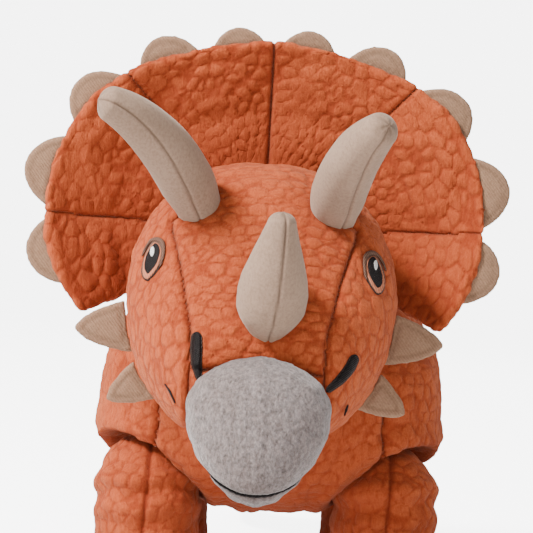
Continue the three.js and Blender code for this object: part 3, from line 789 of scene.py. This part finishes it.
def build_torso():
    hollows = [(leg_pivot(leg), LEG_BALL) for leg in LEGS]
    hollows += [(NECK, NECK_BALL), (TAIL_ROOT, TAIL_BALL + TAIL_CLEARANCE)]
    piece = hull_form("torso_skin", TORSO_PANELS, hollows, 3.2, 6)
    grow(piece, -1.0)
    points = points_of(piece)
    low = smooth_step((TORSO_MID_Z - 12 - points[:, 2]) / 32)
    forward = smooth_step((-points[:, 1] - 5) / 45)
    outer = smooth_step((np.abs(points[:, 0] - MID_X) - 30) / 30)
    points[:, 0] = MID_X + (points[:, 0] - MID_X) * (1 + (0.04 + 0.13 * low * outer) * forward)
    points[:, 2] -= 5.0 * smooth_step((TORSO_MID_Z - 20 - points[:, 2]) / 30) * (1 - outer) * forward
    set_points(piece, points)
    seam = seam_distance(panel_distances(points, TORSO_PANELS))
    held = 0.85 * ridge(seam, 4.5)
    for centre, radius in hollows:
        held = np.maximum(held, near(points, centre, radius, 5))
    puff(piece, held, cap=5.0)
    subdivide(piece, 1)
    panels = sew(piece, TORSO_PANELS, simple_emboss((7.8, 8, 6.4), 21, 0.85), 2.2, 2.0, torso_folds)
    for name, panel in panels.items():
        finish_piece(panel, "orange_plush", "torso", [name])
    lump("torso_stuffing", 5.0, "torso")


def leg_folds(points, pivot, seed):
    """Wrinkles round the top of the leg, where it bends under the body."""
    height = points[:, 2] - pivot[2]
    turn = np.arctan2(points[:, 0] - pivot[0], pivot[1] - points[:, 1])
    wave = np.sin(height / 2.9 + 1.4 * np.sin(turn + seed) + 1.5 * soft_noise(points, 20, seed))
    return 1.5 * wave * np.exp(-(((height + 2) / 15) ** 2))


def build_leg(leg):
    body = leg + "_limb"
    pivot = leg_pivot(leg)
    seed = 41 + LEGS.index(leg)
    piece = joined_nodes(leg + "_plush", [leg + "_leg"])
    remesh(piece, 2.8, 4)
    grow(piece, -LEG_INSET)
    points = points_of(piece)
    tucked = 1 - 0.06 * smooth_step((points[:, 2] - pivot[2] - 5) / 20)
    points[:, :2] = pivot[:2] + (points[:, :2] - pivot[:2]) * tucked[:, None]
    set_points(piece, points)
    held = np.maximum(near(points, pivot, 24, 8) * (points[:, 2] > pivot[2]), (points[:, 2] < 6) * 1.0)
    puff(piece, held, cap=2.0)
    subdivide(piece, 1)
    points = points_of(piece)
    height, border = emboss(points, (7.6, 7.8, 6.2), seed, 0.8)
    seam = np.abs(points[:, 0] - pivot[0] + 1.2 * np.sin(points[:, 2] / 17))
    seam = np.where(np.abs(points[:, 1] - pivot[1]) > 8, seam, 50)
    height = height * (1 - ridge(seam, 2.2)) + press_seam(seam, 1.7, 1.4)
    height += leg_folds(points, pivot, seed) + 0.8 * soft_noise(points, 16, 42)
    height *= np.clip((points[:, 2] - 4) / 8, 0.15, 1)
    set_points(piece, points + normals_of(piece) * height[:, None])
    set_marks(piece, 0.8 * ridge(seam, 0.8), border)
    shade_smooth(piece)
    finish_piece(piece, "orange_plush", body, [leg + "_leg"])
    felt_piece(leg + "_sole", body, 1.3)
    felt_piece(leg + "_toes", body, 1.1)


def build_tail():
    panels = ("tail_left_panel", "tail_right_panel")
    piece = joined_nodes("tail_skin", (*panels, "tail_stuffing"))
    remesh(piece, 3.0, 5)
    grow(piece, -TAIL_INSET)
    points = points_of(piece)
    held = 0.85 * ridge(seam_distance(panel_distances(points, panels)), 4)
    held = np.maximum(held, near(points, TAIL_ROOT, 33, 6) * (points[:, 1] < TAIL_ROOT[1] + 12))
    held = np.maximum(held, (points[:, 2] < 8) * 1.0)
    puff(piece, held, cap=3.0)
    subdivide(piece, 1)
    made = sew(piece, panels, simple_emboss((7.6, 7.6, 6.4), 51, 0.8), 1.5, 1.6)
    for name, panel in made.items():
        finish_piece(panel, "orange_plush", "tail", [name])
    lump("tail_stuffing", 4.5, "tail")


def build_neck():
    """The plush of the neck, gathered where the head turns on it."""
    piece = joined_nodes("neck_plush", ["neck_stuffing"])
    remesh(piece, 3.0, 3)
    subdivide(piece, 1)
    points = points_of(piece)
    height, border = emboss(points, (9, 9, 7), 61, 0.7)
    away = points - NECK
    turn = np.arctan2(away[:, 2], away[:, 0])
    height = height * 0.6 + 0.6 * np.sin(22 * turn) * ridge(away[:, 1], 22)
    set_points(piece, points + normals_of(piece) * height[:, None])
    set_marks(piece, np.zeros(len(points)), border)
    shade_smooth(piece)
    finish_piece(piece, "orange_plush", "neck", ["neck_stuffing"])


# ---------------------------------------------------------------- felt trim

def outline_distance(points):
    """Distance in mm from each point of a flat, rounded piece to its outline."""
    centre = points.mean(0)
    _, _, axes = np.linalg.svd(points - centre, full_matrices=False)
    flat = (points - centre) @ axes[:2].T
    order = np.lexsort((flat[:, 1], flat[:, 0]))

    def half_hull(sequence):
        chain = []
        for point in sequence:
            while len(chain) > 1:
                (ax, ay), (bx, by) = chain[-2], chain[-1]
                if (bx - ax) * (point[1] - ay) - (by - ay) * (point[0] - ax) > 0:
                    break
                chain.pop()
            chain.append((point[0], point[1]))
        return chain[:-1]

    hull = np.array(half_hull(flat[order]) + half_hull(flat[order[::-1]]))
    nearest = np.full(len(flat), np.inf)
    for first, second in zip(hull, np.roll(hull, -1, axis=0)):
        run = second - first
        share = np.clip(((flat - first) @ run) / max(run @ run, 1e-9), 0, 1)
        foot = first + share[:, None] * run
        nearest = np.minimum(nearest, np.linalg.norm(flat - foot, axis=1))
    return nearest


def felt_piece(node, body, voxel, tuck=(0, 0, 0), soften=3, stretch=(0, 0, 0)):
    """A double felt piece: soft edges, a row of stitches near its outline, and a slight wave.

    tuck moves it a little in mm, so that its sewn edge lies inside its seam. stretch is a
    direction whose length is the share by which the piece grows along it."""
    piece = joined_nodes(node + "_felt", [node])
    remesh(piece, voxel, soften)
    points = points_of(piece) + np.array(tuck)
    share = np.linalg.norm(stretch)
    if share > 0:
        heading = np.array(stretch) / share
        points += share * np.outer((points - points.mean(0)) @ heading, heading)
    edge = outline_distance(points)
    height = 0.35 * (1 - np.exp(-edge / 3.0)) - 0.45 * ridge(edge - 3.2, 0.8)
    height += 0.15 * soft_noise(points, 5, 81) + 0.25 * soft_noise(points, 13, 82)
    set_points(piece, points + normals_of(piece) * height[:, None])
    set_marks(piece, 0.5 * ridge(edge - 3.2, 0.7))
    shade_smooth(piece)
    return finish_piece(piece, "beige_felt", body, [node])


# ---------------------------------------------------------------- head and frill

HEAD_PANELS = ("forehead_panel", "chin_panel", "cheek_left_panel", "cheek_right_panel")
FRILL_FRONTS = tuple(f"frill_front_panel_{number}" for number in range(1, 7))
FRILL_BACKS = ("frill_back_panel_left", "frill_back_panel_right")


def head_pattern(points, table):
    """Wide flat scales on the forehead and upright ones on the cheeks."""
    brow, brow_border = emboss(points, (8.2, 6, 4.4), 11, 0.7)
    cheek, cheek_border = emboss(points, (5.6, 6.6, 8.5), 12, 0.75)
    on_cheek = np.argmin(table, axis=1) >= 2
    return np.where(on_cheek, cheek, brow), np.where(on_cheek, cheek_border, brow_border)


def head_folds(points):
    """Low hollows round the eyes, and broad low lumps all over."""
    height = 0.8 * soft_noise(points, 28, 13)
    for side in ("left", "right"):
        low, high = box_mm("eye_" + side)
        middle = (low + high) / 2
        distance = np.linalg.norm(points - middle, axis=1)
        height -= 1.6 * np.exp(-((distance / 13) ** 2))
    return height


def build_head():
    piece = hull_form("head_skin", HEAD_PANELS, [(NECK, NECK_BALL + 0.6)], 2.4, 5)
    grow(piece, -0.8)
    points = points_of(piece)
    held = 0.8 * ridge(seam_distance(panel_distances(points, HEAD_PANELS)), 4)
    held = np.maximum(held, near(points, NECK, NECK_BALL, 5))
    puff(piece, held, cap=3.0)
    subdivide(piece, 1)
    panels = sew(piece, HEAD_PANELS, head_pattern, 1.7, 1.5, head_folds)
    for name, panel in panels.items():
        finish_piece(panel, "orange_plush", "head", [name])
    lump("head_stuffing", 5.0, "head")
    return panels


def frill_polar(points):
    """Angle from straight up, and distance from the middle of the frill."""
    across = points[:, 0]
    up = points[:, 2] - FRILL_CENTRE_Z
    return np.arctan2(across, up), np.hypot(across, up)


def frill_folds(points):
    """Shallow valleys that run out from the middle, deeper towards the rim."""
    turn, radius = frill_polar(points)
    return 0.9 * np.sin(7 * turn + 1.3) * np.clip((radius - 55) / 40, 0, 1) + 0.7 * soft_noise(points, 26, 15)


def frill_pattern(points, table):
    """Scales in rows round the frill."""
    turn, radius = frill_polar(points)
    rolled = np.stack([turn * 72, points[:, 1], radius], axis=1)
    return emboss(rolled, (7.2, 11, 5.6), 14, 1.0)


SCALLOP_TUCK = 3.6
SCALLOP_STRETCH = 0.3
SCALLOP_BACK = np.array((0, 2.2, 0))


def build_frill():
    nodes = (*FRILL_FRONTS, *FRILL_BACKS)
    piece = joined_nodes("frill_skin", (*nodes, "frill_wadding"))
    remesh(piece, 2.5, 3)
    points = points_of(piece)
    turn, radius = frill_polar(points)
    inner = 0.4 * FRILL_RIM
    share = np.clip((radius - inner) / (FRILL_RIM - inner), 0, 1)
    radius = radius - 17 * (1 - share) ** 2 - 1.4 * share ** 4
    points[:, 0] = radius * np.sin(turn)
    points[:, 2] = FRILL_CENTRE_Z + radius * np.cos(turn)
    set_points(piece, points)
    grow(piece, 0.3)
    points = points_of(piece)
    held = 0.85 * ridge(seam_distance(panel_distances(points, nodes)), 4)
    puff(piece, held, cap=2.0)
    subdivide(piece, 1)
    panels = sew(piece, nodes, frill_pattern, 1.4, 1.3, frill_folds, back=len(FRILL_BACKS))
    for name, panel in panels.items():
        finish_piece(panel, "orange_plush", "head", [name])
    lump("frill_wadding", 1.5, "head", 0.9, (0, 0, FRILL_CENTRE_Z))
    for number in range(1, 11):
        name = f"frill_scallop_{number}"
        low, high = box_mm(name)
        outward = unit((low + high) / 2 * (1, 0, 1) - (0, 0, FRILL_CENTRE_Z))
        moved = SCALLOP_BACK - SCALLOP_TUCK * outward
        felt_piece(name, "head", 1.15, moved, stretch=SCALLOP_STRETCH * outward)


# ---------------------------------------------------------------- sweeps

def ring_mesh(name, rings, first, last):
    """A closed skin through rings of points (in mm), with a point at each end."""
    around = len(rings[0])
    points = np.vstack([*rings, [first], [last]])
    start, end = len(points) - 2, len(points) - 1
    faces = []
    for k in range(len(rings) - 1):
        for i in range(around):
            j = (i + 1) % around
            faces.append((k * around + i, k * around + j, (k + 1) * around + j, (k + 1) * around + i))
    top = (len(rings) - 1) * around
    for i in range(around):
        j = (i + 1) % around
        faces.append((start, j, i))
        faces.append((end, top + i, top + j))
    mesh = bpy.data.meshes.new(name)
    mesh.from_pydata((points * MM).tolist(), [], faces)
    solid = bmesh.new()
    solid.from_mesh(mesh)
    bmesh.ops.recalc_face_normals(solid, faces=solid.faces)
    solid.to_mesh(mesh)
    solid.free()
    piece = new_object(name, mesh)
    shade_smooth(piece)
    return piece


def unit(vector):
    return vector / np.linalg.norm(vector)


def horn_route(node, joint, draw_in):
    """The horn's middle line as a quadratic curve: root, control point and drawn in tip."""
    root = joint_mm(joint)
    points = np.array([vertex.co for vertex in frame["nodes"][node].data.vertices]) / MM
    tip = points[np.argmax(np.linalg.norm(points - root, axis=1))]
    along = (points - root) @ unit(tip - root) / np.linalg.norm(tip - root)
    middle = points[(along > 0.4) & (along < 0.62)].mean(0)
    control = 2 * middle - (root + tip) / 2
    return root, control, tip - draw_in * unit(tip - control)


HORN_RINGS = 110
HORN_AROUND = 128


def build_horn(node, body, joint, radii, tip_radius, seam_turn, draw_in):
    """A stuffed velour horn: a front seam, a root that turns in where it is sewn on, and a puckered tip.

    radii are the widths in mm at even steps from its root to its tip."""
    root, control, tip = horn_route(node, joint, draw_in)
    angles = np.linspace(0, 2 * np.pi, HORN_AROUND, endpoint=False)
    length = np.linalg.norm(control - root) / 2 + np.linalg.norm(tip - control) / 2
    length += np.linalg.norm(tip - root) / 2
    steps = np.linspace(0, 1, len(radii))
    rings = []
    grooves = []
    for k in range(HORN_RINGS):
        t = -0.06 + 1.06 * math.sin(math.pi / 2 * k / (HORN_RINGS - 1)) ** 0.9
        centre = (1 - t) ** 2 * root + 2 * t * (1 - t) * control + t * t * tip
        tangent = unit(2 * (1 - t) * (control - root) + 2 * t * (tip - control))
        front = unit(np.array([0, -1, 0]) + tangent * tangent[1])
        side = np.cross(tangent, front)
        radius = float(np.interp(np.clip(t, 0, 1), steps, radii))
        radius *= 1 - 0.12 * ridge(t + 0.06, 0.09)
        left = max(0.0, (1 - t) * length)
        pucker = 0.0
        if left < tip_radius:
            radius *= math.sqrt(max(1 - (1 - left / tip_radius) ** 2, 0.0009))
            pucker = (1 - left / tip_radius) ** 3
        turned = np.angle(np.exp(1j * (angles - seam_turn - 0.25 * t)))
        seam = np.abs(turned) * max(radius, 2)
        folds = -1.0 * pucker * (0.5 + 0.5 * np.cos(5 * angles))
        grown = radius + folds - 0.6 * ridge(seam, 0.55) + 0.15 * ridge(seam - 1.6, 1.0)
        ring = centre + np.outer(grown * np.cos(angles), front) + np.outer(grown * np.sin(angles), side)
        lumps = 0.4 * soft_noise(ring, 13, 91)
        ring += lumps[:, None] * (np.outer(np.cos(angles), front) + np.outer(np.sin(angles), side))
        rings.append(ring)
        # The seam line is the horn's dark seam. The folds of the puckered tip, and the point at its end, are
        # darkened as painted shade.
        grooves.append(np.maximum(0.7 * ridge(seam, 0.4), 0.6 * pucker * (0.5 + 0.5 * np.cos(5 * angles))))
    last = rings[-1].mean(0) - 1.0 * unit(tip - control)
    piece = ring_mesh(node + "_velour", rings, rings[0].mean(0), last)
    set_marks(piece, np.concatenate([*grooves, [0.0], [0.7]]))
    finish_piece(piece, "beige_velour", body, [node])


BROW_RADII = (11.6, 12.4, 12.3, 11.9, 11.2, 10.3, 9.2, 7.9, 6.6)
NOSE_RADII = (12.4, 15.0, 15.3, 14.2, 12.3, 10.2, 8.0, 6.2, 5.0)


def build_horns():
    build_horn("brow_horn_right", "horn_right", "brow_horn_right_flex", BROW_RADII, 6.4, -0.15, 4.5)
    build_horn("brow_horn_left", "horn_left", "brow_horn_left_flex", BROW_RADII, 6.4, 0.5, 3.0)
    build_horn("nose_horn", "horn_nose", "nose_horn_flex", NOSE_RADII, 4.6, 0.1, 1.0)


# ---------------------------------------------------------------- beak

def beak_pattern(points, table):
    """Short grainy nap, with a raised seam down the middle."""
    grain = 0.16 * soft_noise(points, 1.5, 95) + 0.16 * soft_noise(points, 2.9, 96)
    middle = np.abs(points[:, 0] - BEAK_SHIFT - 1.0)
    height = grain + 0.55 * ridge(middle, 1.6) - 0.35 * ridge(middle, 0.5)
    return height, 3.0 - 2.2 * ridge(middle, 0.6)


# The muzzle sits a little to the left of the middle of the head.
BEAK_SHIFT = 1.6
# Half width of the beak, as a share of its widest, at heights from its lowest (-1) to its highest (1).
BEAK_RISES = (-1.0, -0.9, -0.7, -0.45, -0.1, 0.3, 0.6, 0.8, 0.93, 1.0)
BEAK_WIDTHS = (0.14, 0.36, 0.60, 0.80, 0.97, 1.02, 0.90, 0.68, 0.40, 0.14)


def build_beak():
    nodes = ("beak_upper", "beak_lower")
    top = box_mm("beak_upper")[1][2]
    bottom = box_mm("beak_lower")[0][2]
    middle = (top + bottom) / 2
    half = (top - bottom) / 2
    piece = joined_nodes("beak_skin", nodes)
    remesh(piece, 1.7, 5)
    points = points_of(piece)
    rise = (points[:, 2] - middle) / half
    level = np.sqrt(np.maximum(1 - np.clip(rise, -1, 1) ** 2, 0.02))
    wanted = np.interp(rise, BEAK_RISES, BEAK_WIDTHS)
    points[:, 0] = points[:, 0] * wanted / level + BEAK_SHIFT
    points[:, 2] -= 1.6 * smooth_step((rise - 0.3) / 0.7)
    set_points(piece, points)
    grow(piece, 0.8)
    subdivide(piece, 1)
    panels = sew(piece, nodes, beak_pattern, 1.3, 1.1)
    for name, panel in panels.items():
        finish_piece(panel, "grey_plush", "head", [name])
    return panels


# ---------------------------------------------------------------- embroidery

class Backing:
    """The surfaces that embroidery lies on, seen from one direction."""

    def __init__(self, pieces, origin, outward, up=(0, 0, 1)):
        self.trees = []
        for piece in pieces:
            corners = [vertex.co.copy() for vertex in piece.data.vertices]
            faces = [tuple(face.vertices) for face in piece.data.polygons]
            self.trees.append(BVHTree.FromPolygons(corners, faces))
        self.origin = np.array(origin, float)
        self.out = unit(np.array(outward, float))
        self.across = unit(np.cross(np.array(up, float), self.out))
        self.up = np.cross(self.out, self.across)

    def place(self, flat, height):
        """Points (across, up) in mm put on the surface, each raised by its height."""
        heights = np.broadcast_to(height, len(flat))
        placed = []
        for (a, b), raised in zip(flat, heights):
            start = self.origin + a * self.across + b * self.up + 40 * self.out
            best = 44.0
            for tree in self.trees:
                hit = tree.ray_cast(Vector(start * MM), Vector(-self.out))
                if hit[0] is not None:
                    best = min(best, hit[3] / MM)
            placed.append(start - (best - raised) * self.out)
        return np.array(placed)

    def touch(self, start, heading, raised):
        """The first point met along a heading, held that far off the surface."""
        best = 58.0
        for tree in self.trees:
            hit = tree.ray_cast(Vector(start * MM), Vector(heading))
            if hit[0] is not None:
                best = min(best, hit[3] / MM)
        return start + (best - raised) * heading


def smooth_flat(backing, flat, base):
    """Places points, then evens their heights so that thread bridges the grooves under it."""
    placed = backing.place(flat, 0.0)
    depth = (placed - backing.origin) @ backing.out
    for _ in range(2):
        depth = np.maximum(depth, (np.roll(depth, 1) + np.roll(depth, -1)) / 2)
    lift = depth - (placed - backing.origin) @ backing.out + base
    return placed + lift[:, None] * backing.out


def lens(name, backing, outline, base, rise, material, body, cad_nodes=()):
    """A filled patch of satin stitch with a star-shaped outline (across, up)."""
    outline = np.array(outline)
    centre = outline.mean(0)
    rings = []
    for share, height in ((1.0, -0.6), (1.0, 0.0), (0.92, 0.55), (0.75, 0.85), (0.5, 1.0), (0.25, 1.0)):
        flat = centre + share * (outline - centre)
        rings.append(smooth_flat(backing, flat, base + rise * height))
    under = backing.place([centre], base - rise * 0.6)[0]
    over = rings[-1].mean(0)
    piece = ring_mesh(name, rings, under, over)
    return finish_piece(piece, material, body, cad_nodes)


def ribbon(name, backing, route, widths, base, rise, material, body, cad_nodes=()):
    """A line of satin stitch along a smooth route (across, up), with a width at each of its points."""
    steps = 40
    share = np.linspace(0, len(route) - 1, steps)
    knots = np.arange(len(route))
    route = np.array(route, float)
    path = np.stack([np.interp(share, knots, route[:, axis]) for axis in (0, 1)], axis=1)
    half = np.interp(share, knots, widths) / 2
    for _ in range(6):
        path[1:-1] = (path[:-2] + 2 * path[1:-1] + path[2:]) / 4
    steps_along = np.linalg.norm(np.diff(path, axis=0), axis=1)
    travelled = np.concatenate([[0], np.cumsum(steps_along)])
    from_end = np.minimum(travelled, travelled[-1] - travelled)
    half *= np.sqrt(1 - (1 - np.clip(from_end / np.maximum(half, 0.3), 0.03, 1)) ** 2)
    run = np.gradient(path, axis=0)
    run /= np.linalg.norm(run, axis=1, keepdims=True)
    side = np.stack([-run[:, 1], run[:, 0]], axis=1)
    rounded = ((-1, -0.5), (-1, 0.0), (-0.72, 0.75), (-0.3, 1.0))
    profile = rounded + tuple((-across, height) for across, height in rounded[::-1])
    columns = []
    for across, height in profile:
        flat = path + side * (half * across)[:, None]
        columns.append(backing.place(flat, base + rise * height))
    rings = [np.array([column[k] for column in columns]) for k in range(steps)]
    piece = ring_mesh(name, rings, rings[0].mean(0), rings[-1].mean(0))
    return finish_piece(piece, material, body, cad_nodes)


def leaf(width, height, lean=0.0, centre=(0, 0), point=0.75, steps=44):
    """An almond outline, pointed at its top and bottom, with its top leaning across."""
    outline = []
    for i in range(steps):
        angle = 2 * math.pi * i / steps
        rise = math.sin(angle)
        narrow = (1 - abs(rise) ** 2.2) ** point
        across = math.copysign(narrow, math.cos(angle)) * width / 2
        outline.append((centre[0] + across + lean * rise, centre[1] + rise * height / 2))
    return outline


# How far each eye lies outside and above the middle of its CAD patch, in mm.
EYE_OFFSETS = {"right": (1.4, -0.4), "left": (2.2, -1.3)}


def build_eye(side, sign, skins):
    """An embroidered eye. Its lengths across grow towards the outside of the head."""
    middle = np.mean(box_mm("eye_" + side), axis=0)
    backing = Backing(skins, middle, (sign * 0.78, -0.55, 0.3), (sign * 0.55, 0, 1))
    name = "eye_" + side

    def outward(route):
        return [(sign * (a + EYE_OFFSETS[side][0]), b + EYE_OFFSETS[side][1]) for a, b in route]

    rim = leaf(13.2, 20.8, lean=-0.6)
    lens(name + "_outline", backing, outward(rim), 0.3, 0.4, "rim_thread", "head", [name])
    band = [(0.93 * a, 0.95 * b) for a, b in rim]
    lens(name + "_band", backing, outward(band), 0.6, 0.3, "lid_thread", "head")
    iris = [(0.80 * a - 0.2, 0.88 * b - 0.6) for a, b in rim]
    lens(name + "_iris", backing, outward(iris), 0.85, 0.3, "iris_thread", "head")
    pupil = leaf(8.4, 15.2, lean=-0.6, centre=(-0.6, 0.3))
    lens(name + "_pupil", backing, outward(pupil), 1.15, 0.3, "dark_thread", "head")
    glint = leaf(2.4, 5.4, lean=0.3, centre=(-0.5, 3.8))
    lens(name + "_glint", backing, outward(glint), 1.5, 0.3, "white_thread", "head")
    lid = [(-5.8, -5), (-6.8, -1), (-6.3, 4), (-4.6, 8.2), (-1.2, 10.4), (2.4, 10.0), (5.2, 7.4), (6.6, 3.6)]
    widths = (0.5, 0.9, 1.3, 1.9, 2.2, 1.8, 1.2, 0.5)
    ribbon(name + "_lid", backing, outward(lid), widths, 0.8, 0.45, "lid_thread", "head")


def stitch_line(name, points, radius, pitch, material, body, cad_nodes=()):
    """A row of stitches through points in mm: a thread that swells at each stitch and dips between."""
    points = np.array(points)
    steps = np.linalg.norm(np.diff(points, axis=0), axis=1)
    travelled = np.concatenate([[0], np.cumsum(steps)])
    count = int(travelled[-1] / (pitch / 6))
    places = np.linspace(0, travelled[-1], count)
    path = np.stack([np.interp(places, travelled, points[:, axis]) for axis in range(3)], axis=1)
    angles = np.linspace(0, 2 * np.pi, 10, endpoint=False)
    rings = []
    for k, centre in enumerate(path):
        run = unit(path[min(k + 1, count - 1)] - path[max(k - 1, 0)])
        side = unit(np.cross(run, [0, 0, 1.0]))
        over = np.cross(side, run)
        swell = radius * (0.62 + 0.38 * abs(math.sin(math.pi * places[k] / pitch)))
        rings.append(centre + swell * (np.outer(np.cos(angles), side) + np.outer(np.sin(angles), over)))
    piece = ring_mesh(name, rings, path[0], path[-1])
    return finish_piece(piece, material, body, cad_nodes)


def build_face(head_panels, beak_panels):
    skins = list(head_panels.values())
    for side, sign in SIDES:
        build_eye(side, sign, skins)
    front = Backing(skins, (0, -200, 140), (0, -1, 0.0))
    nostrils = {
        "right": ([(-26.6, 11.6), (-26.4, 5), (-26.0, -2), (-24.2, -9)], (3.4, 4.2, 3.6, 1.2)),
        "left": ([(42.6, 4.8), (40.2, -0.8), (36.2, -5.8), (30.2, -11.0)], (3.2, 3.8, 3.2, 1.2)),
    }
    for side, (route, widths) in nostrils.items():
        name = "nostril_" + side
        # Painted shade: a dark brown band, wider than the stitch, round each nostril stands in for the shadow
        # of the fold it is sewn into.
        wider = [width + 1.5 for width in widths]
        ribbon(name + "_painted_fold_shade", front, route, wider, 0.1, 0.4, "rim_thread", "head")
        ribbon(name + "_stitch", front, route, widths, 0.5, 0.7, "dark_thread", "head", [name])
    corners = {
        "right": [(-39.6, -12), (-37, -15), (-34.5, -20)],
        "left": [(40.3, -17), (39.6, -19.5), (38.9, -22)],
    }
    for side, route in corners.items():
        name = "mouth_corner_" + side
        ribbon(name, front, route, (0.6, 1.2, 0.6), 0.2, 0.5, "dark_thread", "head")
    build_mouth(beak_panels)


# How far the mouth line runs round the beak to each side, in radians.
MOUTH_TURN = 1.15


def build_mouth(beak_panels):
    """A stitched line round the border of the two beak halves, which rises towards the back."""
    low, high = box_mm("mouth_stitch")
    slope = (high[2] - low[2]) / (high[1] - low[1])
    beak = Backing(list(beak_panels.values()), (0, low[1], low[2]), (0, -1, 0))
    hinge = np.array([BEAK_SHIFT, high[1], high[2]])
    line = []
    for turn in np.linspace(-MOUTH_TURN, MOUTH_TURN, 60):
        heading = unit(np.array([math.sin(turn), -math.cos(turn), -slope * math.cos(turn)]))
        line.append(beak.touch(hinge + 60 * heading, -heading, 0.25))
    stitch_line("mouth_stitch_line", line, 0.6, 3.0, "dark_thread", "head", ["mouth_stitch"])


def build_spikes():
    for side, _ in SIDES:
        felt_piece("cheek_spike_upper_" + side, "head", 1.1, soften=8)
        felt_piece("cheek_spike_lower_" + side, "head", 1.1, soften=8)


def build_label():
    """A folded blank label sewn into the side seam."""
    low, high = box_mm("care_label")
    width = high[0] - low[0]
    tall = high[2] - low[2]
    columns, rows = 24, 18
    middle_y = (low[1] + high[1]) / 2
    points = []
    for layer in (-1, 1):
        for i in range(columns + 1):
            for j in range(rows + 1):
                u, v = i / columns, j / rows
                open_gap = 0.5 + 0.7 * u * math.sin(math.pi * min(1, 1.1 * u))
                wave = 1.2 * math.sin(3 * u + 1.5 * v) * u
                points.append((low[0] + width * u, middle_y + wave + layer * open_gap / 2, low[2] + tall * v))
    across = rows + 1
    sheet_size = (columns + 1) * across
    faces = []
    for layer in (0, 1):
        for i in range(columns):
            for j in range(rows):
                a = layer * sheet_size + i * across + j
                quad = (a, a + across, a + across + 1, a + 1)
                faces.append(quad if layer == 0 else quad[::-1])
    border = [(i, 0) for i in range(columns)] + [(columns, j) for j in range(rows)]
    border += [(i, rows) for i in range(columns, 0, -1)] + [(0, j) for j in range(rows, 0, -1)]
    loop = [i * across + j for i, j in border]
    for first, second in zip(loop, loop[1:] + loop[:1]):
        faces.append((second, first, first + sheet_size, second + sheet_size))
    mesh = bpy.data.meshes.new("care_label_cloth")
    mesh.from_pydata([(x * MM, y * MM, z * MM) for x, y, z in points], [], faces)
    piece = new_object("care_label_cloth", mesh)
    shade_smooth(piece)
    finish_piece(piece, "label_cloth", "torso", ["care_label"])


# ---------------------------------------------------------------- build

add_camera()
add_lights()
add_stage()
build_torso()
for leg_name in LEGS:
    build_leg(leg_name)
build_tail()
build_neck()
head_skins = build_head()
build_frill()
build_horns()
beak_skins = build_beak()
build_face(head_skins, beak_skins)
build_spikes()
build_label()
